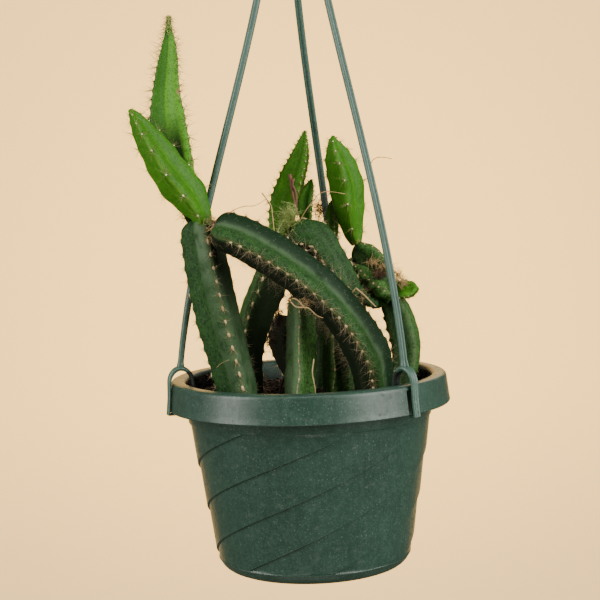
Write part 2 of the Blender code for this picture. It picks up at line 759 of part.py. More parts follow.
def build_rod(name, rod, parent, mat):
    """One rod with its collar and clip, joined into one solid."""
    bm = bmesh.new()
    top_share = 1.0 + SOCKET_DEPTH / (HUB_LEVEL - CLIP_TOP)
    collar_shares = [-0.002, 0.012]
    plain_shares = [0.016]
    for number in range(ROD_RINGS + 1):
        plain_shares.append(0.05 + (top_share - 0.05) * number / ROD_RINGS)
    rings = [rod_ring(rod, share, COLLAR_SCALE) for share in collar_shares]
    rings += [rod_ring(rod, share) for share in plain_shares]
    loft(bm, rings)
    bmesh.ops.recalc_face_normals(bm, faces=bm.faces[:])
    obj = add_object(name, bm, mat, parent)
    strap = add_object("strap", strap_mesh(rod), None, parent)
    tooth = add_object("tooth", tooth_mesh(rod), None, parent)
    apply_boolean(obj, [strap, tooth], "UNION")
    shade(obj, 40.0)
    return obj


def hook_path():
    """The hook's middle line, from the hub's top round the crown to its tip."""
    crown = Vector((0.0, 0.0, HANG_HEIGHT - HOOK_INNER_RADIUS))
    radius = HOOK_INNER_RADIUS + HOOK_BAR_RADIUS
    first = crown + Vector((radius * math.cos(HOOK_START), 0.0, radius * math.sin(HOOK_START)))
    heading = Vector((-math.sin(HOOK_START), 0.0, math.cos(HOOK_START)))
    neck = Vector((0.0, 0.0, HUB_LEVEL + HOOK_NECK))
    controls = (neck, neck + Vector((0.0, 0.0, 7.0)), first - heading * 5.0, first)
    points = [bezier(controls, i / 5) for i in range(6)]
    for number in range(1, 17):
        turn = HOOK_START + (HOOK_END - HOOK_START) * number / 16
        points.append(crown + Vector((radius * math.cos(turn), 0.0, radius * math.sin(turn))))
    return points


def build_hook(parent, mat):
    """The hub with its three sockets, and the hook that rises from it."""
    bm = bmesh.new()
    profile = (
        (8.0, HUB_LEVEL - 4.0), (HUB_RADIUS, HUB_LEVEL - 2.5), (HUB_RADIUS, HUB_LEVEL + 5.0),
        (7.5, HUB_LEVEL + 8.0), (3.4, HUB_LEVEL + 10.5),
    )
    sides = 18
    rings = []
    for radius, height in profile:
        rings.append([polar(radius, 2 * math.pi * j / sides, height) for j in range(sides)])
    loft(bm, rings)
    bmesh.ops.recalc_face_normals(bm, faces=bm.faces[:])
    obj = add_object("hanger_hook", bm, mat, parent)

    bar = bmesh.new()
    points = hook_path()
    rings = []
    for number, point in enumerate(points):
        before = points[max(number - 1, 0)]
        after = points[min(number + 1, len(points) - 1)]
        tangent = (after - before).normalized()
        across = Vector((0.0, 1.0, 0.0))
        over = tangent.cross(across)
        ring = []
        for j in range(8):
            turn = 2 * math.pi * (j + 0.5) / 8
            ring.append(point + (across * math.cos(turn) + over * math.sin(turn)) * HOOK_BAR_RADIUS)
        rings.append(ring)
    tip = points[-1] + (points[-1] - points[-2]).normalized() * HOOK_TIP
    rows = loft(bar, rings, close_end=False)
    peak = bar.verts.new(tip)
    for j, vert in enumerate(rows[-1]):
        bar.faces.new((peak, vert, rows[-1][(j + 1) % 8]))
    bmesh.ops.recalc_face_normals(bar, faces=bar.faces[:])
    apply_boolean(obj, [add_object("bar", bar, None, parent)], "UNION")

    sockets = []
    for rod in RODS.values():
        cut = bmesh.new()
        run = HUB_LEVEL - CLIP_TOP
        rings = []
        for level in (-7.0, SOCKET_DEPTH + SEAT_GAP):
            rings.append(rod_ring(rod, 1.0 + level / run, 1.0, SOCKET_CLEAR))
        loft(cut, rings)
        bmesh.ops.recalc_face_normals(cut, faces=cut.faces[:])
        sockets.append(add_object("socket", cut, None, parent))
    apply_boolean(obj, sockets, "DIFFERENCE")
    shade(obj, 40.0)
    return obj


def tree_of_object(obj):
    """A search tree over a finished piece, in millimetres in the pot's frame."""
    bm = bmesh.new()
    bm.from_mesh(obj.data)
    bmesh.ops.scale(bm, vec=(1 / MM, 1 / MM, 1 / MM), verts=bm.verts[:])
    tree = BVHTree.FromBMesh(bm)
    bm.free()
    return tree


def main():
    """Builds every piece under one empty at the pot's underside."""
    clear_scene()
    frame = bpy.data.objects.new("pot_frame", None)
    frame.location = (0.0, 0.0, -HANG_HEIGHT * MM)
    bpy.context.scene.collection.objects.link(frame)
    pot_green = material("pot_green", (0.035, 0.11, 0.075), 0.42)
    hanger_green = material("hanger_green", (0.09, 0.22, 0.18), 0.38)
    peat = material("peat", (0.025, 0.016, 0.01), 0.95)
    mats = {
        "old": material("old_stem_green", (0.03, 0.1, 0.045), 0.55),
        "young": material("young_stem_green", (0.11, 0.33, 0.03), 0.4),
    }
    pot = build_pot(frame, pot_green)
    soil = build_soil(frame, peat)
    rods = [build_rod(name, rod, frame, hanger_green) for name, rod in RODS.items()]
    build_hook(frame, hanger_green)
    build_stems(frame, mats, [tree_of_object(obj) for obj in [pot, soil] + rods])


main()
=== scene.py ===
"""Looks of a dog tail cactus in its hanging pot.

Lengths are in millimetres in the pot's own frame, unless a name says otherwise: Z up from the
pot's underside, on the pot's axis, with -Y towards the viewer. Meshes are stored in metres in
the whole object's frame, whose origin is the underside of the hook's crown.
"""

from __future__ import annotations

import logging
import math
from contextlib import contextmanager
from dataclasses import dataclass
from enum import Enum
from functools import cache
from typing import Iterator

import bpy
import numpy as np
from mathutils import Matrix, Vector

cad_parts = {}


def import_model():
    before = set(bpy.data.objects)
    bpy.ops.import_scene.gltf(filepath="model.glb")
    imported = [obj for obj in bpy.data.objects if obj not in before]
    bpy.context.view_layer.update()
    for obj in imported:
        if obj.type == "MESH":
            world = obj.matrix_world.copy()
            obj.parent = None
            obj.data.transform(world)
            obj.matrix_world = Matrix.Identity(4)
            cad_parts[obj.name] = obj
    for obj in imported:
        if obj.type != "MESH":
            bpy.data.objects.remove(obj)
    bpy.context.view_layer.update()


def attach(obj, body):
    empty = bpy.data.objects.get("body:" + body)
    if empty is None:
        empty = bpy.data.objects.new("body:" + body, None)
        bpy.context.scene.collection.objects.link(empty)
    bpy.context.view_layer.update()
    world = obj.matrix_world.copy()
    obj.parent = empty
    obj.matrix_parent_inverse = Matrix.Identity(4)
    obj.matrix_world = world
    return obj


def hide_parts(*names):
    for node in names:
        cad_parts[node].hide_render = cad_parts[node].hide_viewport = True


Array = np.ndarray
Colour = tuple[float, float, float]
Point = tuple[float, float, float]

LOG = logging.getLogger("cactus")
MM = 0.001
FULL_TURN = 2 * math.pi
UP = np.array([0.0, 0.0, 1.0])
BODY = "root"
FIRST_STEM_SEED = 100
FIRST_TUFT_SEED = 70
HAIR_TAPER = 0.35
MERGE_DISTANCE = 2e-6

HANG_HEIGHT = 435.0
SKIRT_FOOT = 86.9
SKIRT_RADIUS = 75.0
SOIL_LEVEL = 91.6


# Meshes

def to_world(points: Array) -> Array:
    """Points of the pot's frame, in millimetres, as metres in the whole object's frame."""
    return (np.asarray(points, float) - (0.0, 0.0, HANG_HEIGHT)) * MM


def unit(vectors: Array) -> Array:
    """Vectors scaled to length one."""
    return vectors / np.maximum(np.linalg.norm(vectors, axis=-1, keepdims=True), 1e-12)


def square_to(tangents: Array, direction: Array) -> Array:
    """Unit vectors square to each tangent that lean towards a direction."""
    return unit(direction - tangents * (tangents @ direction)[:, None])


def soft_ends(shares: Array) -> Array:
    """Shares from 0 to 1 that leave 0 and reach 1 gently."""
    return shares * shares * (3.0 - 2.0 * shares)


def full_turn(count: int) -> Array:
    """Angles in radians of evenly spaced columns all round."""
    return np.linspace(0.0, FULL_TURN, count, endpoint=False)


def polar(radius: float, angle: float, height: float) -> Array:
    """A point from its distance to the pot's axis, its angle in radians and its height."""
    return np.array([radius * math.cos(angle), radius * math.sin(angle), height])


def ring(radius: float | Array, angles: Array, height: float | Array) -> Array:
    """Points from their distances to the pot's axis, angles in radians and heights."""
    levels = np.broadcast_to(height, angles.shape)
    return np.stack([radius * np.cos(angles), radius * np.sin(angles), levels], axis=1)


def activate(obj: bpy.types.Object) -> None:
    """Makes one object the only selected one and the active one."""
    bpy.ops.object.select_all(action="DESELECT")
    obj.select_set(True)
    bpy.context.view_layer.objects.active = obj


@contextmanager
def editing(obj: bpy.types.Object) -> Iterator[None]:
    """Edit mode on one object, with all of its mesh selected."""
    activate(obj)
    bpy.ops.object.mode_set(mode="EDIT")
    bpy.ops.mesh.select_all(action="SELECT")
    yield
    bpy.ops.object.mode_set(mode="OBJECT")


def add_field(mesh: bpy.types.Mesh, name: str, values: Array) -> None:
    """Stores one number for each vertex, for the materials to read."""
    attribute = mesh.attributes.new(name, "FLOAT", "POINT")
    attribute.data.foreach_set("value", np.asarray(values, np.float32).ravel())


def wrap(name: str, rings: Array, fields: dict[str, Array] | None = None) -> bpy.types.Object:
    """Wraps a grid round a stack of rings and closes it to one skin.

    Args:
        name: The new object's name.
        rings: Points in rows and columns, where a row whose points are all one is a pole.
        fields: Numbers to store for each point, in rows and columns.

    Returns:
        The closed object, with its faces pointing out.
    """
    rows, columns = rings.shape[:2]
    bpy.ops.object.select_all(action="DESELECT")
    bpy.ops.mesh.primitive_grid_add(x_subdivisions=columns, y_subdivisions=rows - 1, size=1.0)
    obj = bpy.context.active_object
    obj.name = obj.data.name = name
    closed = np.concatenate([rings, rings[:, :1]], axis=1)
    obj.data.vertices.foreach_set("co", to_world(closed).astype(np.float32).ravel())
    for key, values in (fields or {}).items():
        add_field(obj.data, key, np.concatenate([values, values[:, :1]], axis=1))
    with editing(obj):
        bpy.ops.mesh.remove_doubles(threshold=MERGE_DISTANCE)
        bpy.ops.mesh.normals_make_consistent(inside=False)
    return obj


def assemble(name: str, points: Array, faces: Array,
             fields: dict[str, Array] | None = None) -> bpy.types.Object:
    """Makes an object of many copies of a small shape from their joined triangles.

    Args:
        name: The new object's name.
        points: All points, in the pot's frame.
        faces: Three point numbers for each triangle.
        fields: Numbers to store for each point.

    Returns:
        The new object.
    """
    mesh = bpy.data.meshes.new(name)
    mesh.vertices.add(len(points))
    mesh.vertices.foreach_set("co", to_world(points).astype(np.float32).ravel())
    mesh.loops.add(faces.size)
    mesh.loops.foreach_set("vertex_index", faces.astype(np.int32).ravel())
    mesh.polygons.add(len(faces))
    mesh.polygons.foreach_set("loop_start", np.arange(0, faces.size, 3, dtype=np.int32))
    mesh.update(calc_edges=True)
    for key, values in (fields or {}).items():
        add_field(mesh, key, values)
    obj = bpy.data.objects.new(name, mesh)
    bpy.context.scene.collection.objects.link(obj)
    return obj


def smooth_route(points: list | tuple, samples: int) -> Array:
    """A smooth curve through all the points, as evenly numbered samples."""
    knots = np.asarray(points, float)
    padded = np.vstack([2 * knots[0] - knots[1], knots, 2 * knots[-1] - knots[-2]])
    place = np.linspace(0, len(knots) - 1, samples)
    span = np.minimum(place.astype(int), len(knots) - 2)
    t = (place - span)[:, None]
    p0, p1, p2, p3 = (padded[span + step] for step in range(4))
    square = 2 * p0 - 5 * p1 + 4 * p2 - p3
    cube = -p0 + 3 * p1 - 3 * p2 + p3
    return 0.5 * (2 * p1 + (p2 - p0) * t + square * t ** 2 + cube * t ** 3)


def even_route(points: list | tuple, spacing: float) -> tuple[Array, Array]:
    """Samples a smooth route at even steps.

    Args:
        points: The route's points, each a place and any further numbers.
        spacing: The wanted distance between samples.

    Returns:
        The samples, and each one's distance from the start.
    """
    fine = smooth_route(points, 400)
    steps = np.linalg.norm(np.diff(fine[:, :3], axis=0), axis=1)
    run = np.concatenate([[0.0], np.cumsum(steps)])
    places = np.linspace(0.0, run[-1], max(4, round(run[-1] / spacing)) + 1)
    columns = [np.interp(places, run, fine[:, k]) for k in range(fine.shape[1])]
    return np.stack(columns, axis=1), places


def hairs(name: str, paths: Array, radii: Array, shades: Array) -> bpy.types.Object:
    """Makes three-sided hairs that taper to a point.

    Args:
        name: The new object's name.
        paths: Points in the order hair, step along it, coordinate.
        radii: Each hair's radius at its root.
        shades: Each hair's own shade, from 0 to 1.

    Returns:
        One object of all the hairs.
    """
    count, steps = paths.shape[:2]
    tangents = unit(np.gradient(paths, axis=1))
    helper = np.where(np.abs(tangents[..., 2:]) < 0.8, (0.0, 0.0, 1.0), (1.0, 0.0, 0.0))
    first = unit(np.cross(tangents, helper))
    second = np.cross(tangents, first)
    taper = np.linspace(1.0, HAIR_TAPER, steps - 1)
    sections = []
    for number in range(3):
        turn = FULL_TURN * number / 3
        offset = first * math.cos(turn) + second * math.sin(turn)
        width = radii[:, None, None] * taper[None, :, None]
        sections.append(paths[:, :-1] + offset[:, :-1] * width)
    rings = np.stack(sections, axis=2).reshape(count, -1, 3)
    points = np.concatenate([rings, paths[:, -1:]], axis=1)
    faces = [(0, 2, 1)]
    for row in range(steps - 2):
        for side in range(3):
            low, next_low = 3 * row + side, 3 * row + (side + 1) % 3
            faces += [(low, next_low, next_low + 3), (low, next_low + 3, low + 3)]
    peak = 3 * (steps - 1)
    faces += [(peak - 3 + side, peak - 3 + (side + 1) % 3, peak) for side in range(3)]
    every = np.arange(count)[:, None, None] * points.shape[1] + np.asarray(faces)[None]
    along = np.append(np.repeat(np.linspace(0.0, 1.0, steps)[:-1], 3), 1.0)
    fields = {
        "shade": np.repeat(shades, points.shape[1]),
        "along": np.tile(along, count),
    }
    obj = assemble(name, points.reshape(-1, 3), every.reshape(-1, 3), fields)
    with editing(obj):
        bpy.ops.mesh.normals_make_consistent(inside=False)
    return obj


def block(centre: Array, size: Point, turn: Matrix) -> bpy.types.Object:
    """A block of a size in millimetres, turned and put in its place."""
    bpy.ops.mesh.primitive_cube_add(size=1.0)
    obj = bpy.context.active_object
    obj.data.transform(Matrix.Diagonal((*[side * MM for side in size], 1.0)))
    obj.data.transform(turn)
    obj.data.transform(Matrix.Translation(to_world(centre)))
    return obj


def sweep(name: str, line: Array, outward: Array, outline: Array, scales: Array,
          swelling: Array | None = None) -> bpy.types.Object:
    """Sweeps a closed outline along a line.

    Args:
        name: The new object's name.
        line: Points on the middle line.
        outward: The direction that the outline's first axis leans to.
        outline: Pairs of outward and sideways offsets.
        scales: The outline's scale at each point.
        swelling: A further scale of the sideways offsets at each point.

    Returns:
        The closed bar.
    """
    tangents = unit(np.gradient(line, axis=0))
    out = square_to(tangents, outward)
    over = np.cross(tangents, out)
    if swelling is not None:
        over = over * swelling[:, None]
    rings = (line[:, None] + out[:, None] * (outline[None, :, :1] * scales[:, None, None])
             + over[:, None] * (outline[None, :, 1:] * scales[:, None, None]))
    start = np.repeat(line[:1, None], len(outline), axis=1)
    end = np.repeat(line[-1:, None], len(outline), axis=1)
    return wrap(name, np.concatenate([start, rings, end]))


def combine(base: bpy.types.Object, other: bpy.types.Object, operation: str) -> None:
    """Joins a closed mesh to the base or cuts it out of the base, and uses it up.

    Args:
        base: The object that is changed.
        other: The object that is added or cut away.
        operation: The Boolean modifier's operation.
    """
    activate(base)
    modifier = base.modifiers.new("combine", "BOOLEAN")
    modifier.operation = operation
    modifier.object = other
    bpy.ops.object.modifier_apply(modifier=modifier.name)
    bpy.data.objects.remove(other, do_unlink=True)


@dataclass(frozen=True)
class Pattern:
    """A small shape that is modelled once and copied many times."""

    points: Array
    faces: Array

    @staticmethod
    def lump(subdivisions: int, roughness: float, seed: int) -> "Pattern":
        """A rough ball of radius one, from an icosphere whose points are moved at random."""
        bpy.ops.object.select_all(action="DESELECT")
        bpy.ops.mesh.primitive_ico_sphere_add(subdivisions=subdivisions, radius=1.0)
        obj = bpy.context.active_object
        points = np.array([vert.co for vert in obj.data.vertices])
        faces = np.array([face.vertices for face in obj.data.polygons])
        bpy.data.objects.remove(obj, do_unlink=True)
        draw = np.random.default_rng(seed)
        points *= 1.0 + roughness * draw.uniform(-1.0, 1.0, (len(points), 1))
        return Pattern(points, faces)

    def copies(self, name: str, places: Array, frames: Array, shades: Array) -> bpy.types.Object:
        """Copies the shape to many places.

        Args:
            name: The new object's name.
            places: Where each copy goes.
            frames: Each copy's three axes as rows, each as long as its half size.
            shades: Each copy's own shade, from 0 to 1.

        Returns:
            One object of all the copies.
        """
        points = places[:, None] + np.einsum("pk,nkc->npc", self.points, frames)
        count, size = points.shape[:2]
        every = np.arange(count)[:, None, None] * size + self.faces[None]
        fields = {"shade": np.repeat(shades, size)}
        return assemble(name, points.reshape(-1, 3), every.reshape(-1, 3), fields)


def place_piece(obj: bpy.types.Object, finish: Finish,
                replaces: str | None = None, angle: float = 180.0) -> bpy.types.Object:
    """Finishes a piece: its shading, material, body and the node it stands for.

    Args:
        obj: The piece.
        finish: Its finish.
        replaces: The CAD node that it stands for, if any.
        angle: Edges sharper than this, in degrees, stay sharp.

    Returns:
        The same piece.
    """
    activate(obj)
    if angle >= 180.0:
        bpy.ops.object.shade_smooth()
    else:
        bpy.ops.object.shade_smooth_by_angle(angle=math.radians(angle))
    obj.data.materials.clear()
    obj.data.materials.append(material_of(finish))
    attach(obj, BODY)
    if replaces:
        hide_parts(replaces)
    LOG.info("%s: %d faces", obj.name, len(obj.data.polygons))
    return obj


# Shader maths

class Signal:
    """An output socket of a material that takes part in Python expressions."""

    def __init__(self, tree: bpy.types.NodeTree, socket: bpy.types.NodeSocket) -> None:
        """Keeps the node tree and the socket."""
        self.tree = tree
        self.socket = socket

    def maths(self, operation: str, *values: "Value") -> "Signal":
        """The result of one Math node on the given values."""
        node = self.tree.nodes.new("ShaderNodeMath")
        node.operation = operation
        for socket, value in zip(node.inputs, values):
            plug(self.tree, socket, value)
        return Signal(self.tree, node.outputs[0])

    def __add__(self, other: "Value") -> "Signal":
        """Sum."""
        return self.maths("ADD", self, other)

    def __sub__(self, other: "Value") -> "Signal":
        """Difference."""
        return self.maths("SUBTRACT", self, other)

    def __rsub__(self, other: "Value") -> "Signal":
        """Difference from the other value."""
        return self.maths("SUBTRACT", other, self)

    def __mul__(self, other: "Value") -> "Signal":
        """Product."""
        return self.maths("MULTIPLY", self, other)

    __radd__ = __add__
    __rmul__ = __mul__

    def __truediv__(self, other: "Value") -> "Signal":
        """Quotient."""
        return self.maths("DIVIDE", self, other)

    def __pow__(self, other: "Value") -> "Signal":
        """Power."""
        return self.maths("POWER", self, other)

    def eased(self, low: float, high: float) -> "Signal":
        """0 below low, 1 above high and smooth between; low may be the larger."""
        node = self.tree.nodes.new("ShaderNodeMapRange")
        node.interpolation_type = "SMOOTHSTEP"
        node.inputs["From Min"].default_value = low
        node.inputs["From Max"].default_value = high
        plug(self.tree, node.inputs["Value"], self)
        return Signal(self.tree, node.outputs[0])


Value = Signal | float | tuple


def plug(tree: bpy.types.NodeTree, socket: bpy.types.NodeSocket, value: Value) -> None:
    """Links a signal to a socket, or sets the socket to a number, vector or colour."""
    if isinstance(value, Signal):
        tree.links.new(value.socket, socket)
    elif socket.type == "RGBA":
        socket.default_value = (*value, 1.0)
    else:
        socket.default_value = value


class Dress:
    """A material in the making."""

    def __init__(self, name: str) -> None:
        """Starts a Principled material."""
        self.material = bpy.data.materials.new(name)
        self.material.use_nodes = True
        self.tree = self.material.node_tree
        self.shader = self.tree.nodes["Principled BSDF"]

    def node(self, kind: str, settings: dict, values: dict, output: str | int = 0) -> Signal:
        """Adds one node.

        Args:
            kind: The node's type.
            settings: Its own settings, by name.
            values: What its inputs take, by name or number.
            output: The output that is wanted.

        Returns:
            The wanted output.
        """
        made = self.tree.nodes.new(kind)
        for name, setting in settings.items():
            setattr(made, name, setting)
        for key, value in values.items():
            plug(self.tree, made.inputs[key], value)
        return Signal(self.tree, made.outputs[output])

    def field(self, name: str) -> Signal:
        """A number stored on the mesh."""
        return self.node("ShaderNodeAttribute", {"attribute_name": name}, {}, "Fac")

    def place(self, stretch: Point = (1.0, 1.0, 1.0)) -> Signal:
        """Object coordinates, scaled along each axis."""
        place = self.node("ShaderNodeTexCoord", {}, {}, "Object")
        return self.node("ShaderNodeMapping", {}, {"Vector": place, "Scale": stretch})

    def noise(self, size: float, detail: float = 2.0, stretch: Point = (1.0, 1.0, 1.0),
              warp: float = 0.0) -> Signal:
        """Soft noise whose features are about size millimetres across."""
        values = {"Vector": self.place(stretch), "Scale": 1.0 / (size * MM), "Detail": detail,
                  "Distortion": warp}
        return self.node("ShaderNodeTexNoise", {}, values, "Fac")

    def cells(self, size: float, stretch: Point = (1.0, 1.0, 1.0)) -> Signal:
        """Distance to the nearest of points strewn about size millimetres apart."""
        values = {"Vector": self.place(stretch), "Scale": 1.0 / (size * MM)}
        return self.node("ShaderNodeTexVoronoi", {}, values, "Distance")

    def mix(self, share: Value, first: Value, second: Value) -> Signal:
        """A colour between two, the second where share is 1."""
        node = self.tree.nodes.new("ShaderNodeMix")
        node.data_type = "RGBA"
        for number, value in ((0, share), (6, first), (7, second)):
            plug(self.tree, node.inputs[number], value)
        return Signal(self.tree, node.outputs[2])

    def bump(self, height: Signal, depth: float, strength: float = 1.0) -> Signal:
        """A normal bent by a height whose full range is depth millimetres."""
        values = {"Height": height, "Distance": depth * MM, "Strength": strength}
        return self.node("ShaderNodeBump", {}, values, "Normal")

    def done(self, colour: Value, roughness: Value, normal: Signal | None = None,
             **fixed: Value) -> bpy.types.Material:
        """Feeds the shader.

        Args:
            colour: Base colour.
            roughness: Roughness.
            normal: Bumped normal, if any.
            fixed: Constants for other sockets, with underscores in place of spaces.

        Returns:
            The finished material.
        """
        plug(self.tree, self.shader.inputs["Base Color"], colour)
        plug(self.tree, self.shader.inputs["Roughness"], roughness)
        if normal is not None:
            plug(self.tree, self.shader.inputs["Normal"], normal)
        for name, value in fixed.items():
            self.shader.inputs[name.replace("_", " ")].default_value = value
        return self.material


# Finishes

@dataclass(frozen=True)
class MouldedPlastic:
    """Satin moulded plastic: mottled, with fine pale flecks, faint streaks and a little dust."""

    name: str
    deep: Colour
    light: Colour
    fleck: Colour
    bloom: Colour = (0.045, 0.098, 0.072)
    mottling: float = 0.3
    dust: Colour = (0.20, 0.17, 0.12)
    # A dark brown for peat dirt and painted shade, used where the mesh's field asks.
    soil: Colour = (0.006, 0.0045, 0.003)
    roughness: float = 0.36
    fleck_size: float = 2.1
    fleck_share: float = 0.24
    flecks: float = 0.4
    dusting: float = 0.35
    streaks: float = 0.08
    streak: Point = (1.0, 1.0, 0.12)

    def material(self) -> bpy.types.Material:
        """Makes the material."""
        dress = Dress(self.name)
        cloud = dress.noise(26.0, 3.0).eased(0.3, 0.7)
        streaks = dress.noise(1.6, 2.0, self.streak).eased(0.35, 0.75)
        colour = dress.mix(cloud * 0.6 + streaks * self.streaks, self.deep, self.light)
        mottle = dress.noise(1.5, 3.0) * 0.5 + dress.noise(5.0, 3.0) * 0.5
        colour = dress.mix(mottle.eased(0.42, 0.66) * self.mottling, colour, self.bloom)
        patches = dress.noise(9.0, 3.0).eased(0.3, 0.6)
        specks = dress.cells(self.fleck_size).eased(self.fleck_share, 0.06) * patches
        fine = dress.cells(0.55 * self.fleck_size).eased(1.5 * self.fleck_share, 0.06)
        colour = dress.mix(specks * self.flecks + fine * (0.6 * self.flecks), colour, self.fleck)
        settled = dress.noise(5.0, 5.0, (1.0, 1.0, 1.6)).eased(0.55, 0.8)
        colour = dress.mix(settled * self.dusting, colour, self.dust)
        roughness = self.roughness + (settled * 0.25 + streaks * 0.08 + specks * 0.1)
        grain = dress.noise(0.5, 2.0) * 0.4 + dress.noise(3.5, 2.0, self.streak) * 0.6
        normal = dress.bump(grain, 0.06, 0.5)
        # Painted shade and dirt: where the mesh's field asks, the colour turns dark brown and the
        # finish dull, for peat dirt and painted shade on the pot's inner wall and painted shade on
        # the clips' inner legs.
        dirt_and_shade = dress.field("dirt_and_shade")
        colour = dress.mix(dirt_and_shade, colour, self.soil)
        return dress.done(colour, roughness + dirt_and_shade * 0.6, normal, IOR=1.49)


@dataclass(frozen=True)
class StemSkin:
    """A stem's waxy skin, with colours for its ribs, valleys, marks and scars, and painted light,
    shade and sheen on its flanks.
    """

    name: str
    deep: Colour
    fresh: Colour
    painted_light: Colour
    # A dark green for painted shade on one flank and for a random mottle.
    mottle_and_painted_shade: Colour
    shade: Colour
    # A pale grey-green for waxy bloom and painted sheen.
    valley: Colour
    edge: Colour
    speck: Colour
    scar: Colour
    cork: Colour
    bloom_and_sheen_share: float
    edge_share: float
    edge_start: float
    speck_share: float
    mottling: float
    wrinkling: float
    roughness: float
    gloss: float
    glow: float

    def material(self) -> bpy.types.Material:
        """Makes the material."""
        dress = Dress(self.name)
        crest, dark = dress.field("crest"), dress.field("dark")
        scar, tip = dress.field("scar"), dress.field("tip")
        broad = dress.noise(14.0, 3.0).eased(0.3, 0.7)
        fine = dress.noise(2.2, 3.0)
        blotches = dress.noise(5.0, 4.0).eased(0.32, 0.68)
        colour = dress.mix(broad * 0.4 + blotches * 0.4 + fine * 0.2, self.deep, self.fresh)
        # Painted light: the lit flank, and an even share over some stems, take a brighter green.
        colour = dress.mix(dress.field("painted_light") * (0.7 + blotches * 0.3), colour, self.painted_light)
        # Painted shade: the flank that turns from the light is made dark green.
        colour = dress.mix(dark, colour, self.mottle_and_painted_shade)
        colour = dress.mix(dress.noise(1.1, 3.0).eased(0.46, 0.62) * self.mottling, colour,
                           self.mottle_and_painted_shade)
        # Pale bloom, partly the skin's waxy bloom and partly painted sheen and highlight.
        bloom = dress.field("bloom") * dress.noise(7.0, 3.0).eased(0.2, 0.6)
        colour = dress.mix(bloom * self.bloom_and_sheen_share, colour, self.valley)
        pores = dress.cells(1.4).eased(0.30, 0.10) * dress.noise(3.0, 2.0).eased(0.35, 0.6)
        pores = pores * dress.field("specks")
        colour = dress.mix(pores * self.speck_share, colour, self.speck)
        rim = crest.eased(self.edge_start, 1.0) * dress.noise(3.0, 3.0).eased(0.3, 0.62)
        colour = dress.mix(rim * self.edge_share, colour, self.edge)
        colour = dress.mix(dress.field("shaded"), colour, self.shade)
        ridge = (crest + dress.field("margin")).eased(0.991, 0.999)
        cork = ridge * dress.field("cork") * dress.noise(1.5, 3.0).eased(0.38, 0.58)
        colour = dress.mix(cork * (0.55 + 0.4 * dress.field("margin").eased(0.0, 0.04)), colour,
                           self.cork)
        dry = (tip + (dress.noise(0.9, 3.0) - 0.5) * 1.6).eased(0.45, 0.75)
        colour = dress.mix(dry * 0.7, colour, self.scar)
        torn = (scar + (dress.noise(1.6, 4.0) - 0.5) * 0.9).eased(0.45, 0.6)
        colour = dress.mix(torn, colour, self.scar)
        roughness = self.roughness + (bloom * 0.12 + torn * 0.35 + fine * 0.08)
        roughness = roughness + dress.field("shaded") * 0.4
        wrinkles = dress.noise(0.9, 2.0) * 0.4 + dress.noise(3.0, 3.0) * 0.6 - torn * 0.8
        normal = dress.bump(wrinkles, 0.45, self.wrinkling)
        return dress.done(colour, roughness, normal, IOR=1.42, Specular_IOR_Level=self.gloss,
                          Subsurface_Weight=self.glow, Subsurface_Radius=(0.5, 1.0, 0.2),
                          Subsurface_Scale=0.003)


@dataclass(frozen=True)
class Fibre:
    """Dry or woolly plant fibre whose copies differ in shade and pale towards their tips."""

    name: str
    dark: Colour
    light: Colour
    tip: Colour
    tip_share: float = 0.5
    roughness: float = 0.6
    glow: float = 0.0

    def material(self) -> bpy.types.Material:
        """Makes the material."""
        dress = Dress(self.name)
        shade = dress.field("shade")
        grain = dress.noise(1.2, 3.0)
        colour = dress.mix(shade * 0.7 + grain * 0.3, self.dark, self.light)
        colour = dress.mix(dress.field("along") * self.tip_share, colour, self.tip)
        normal = dress.bump(dress.noise(0.3, 3.0), 0.1, 0.6)
        return dress.done(colour, self.roughness + grain * 0.15, normal, IOR=1.4,
                          Subsurface_Weight=self.glow, Subsurface_Scale=0.001)


@dataclass(frozen=True)
class Peat:
    """Damp dark peat with reddish fibre and pale grit."""

    name: str
    dark: Colour = (0.003, 0.0022, 0.0018)
    brown: Colour = (0.018, 0.0095, 0.006)
    red: Colour = (0.085, 0.026, 0.013)
    grit: Colour = (0.11, 0.085, 0.055)

    def material(self) -> bpy.types.Material:
        """Makes the material."""
        dress = Dress(self.name)
        lumps = dress.noise(2.5, 5.0)
        colour = dress.mix(lumps.eased(0.35, 0.7), self.dark, self.brown)
        reds = dress.noise(4.0, 3.0).eased(0.6, 0.75) * dress.field("shade").eased(0.5, 1.0)
        colour = dress.mix(reds * 0.8, colour, self.red)
        grains = dress.cells(1.7).eased(0.13, 0.06) * dress.noise(3.0).eased(0.5, 0.62)
        colour = dress.mix(grains * 0.7, colour, self.grit)
        height = lumps * 0.6 + dress.noise(0.8, 4.0) * 0.4
        return dress.done(colour, 0.78 + lumps * 0.2, dress.bump(height, 1.2, 0.9),
                          Specular_IOR_Level=0.2)


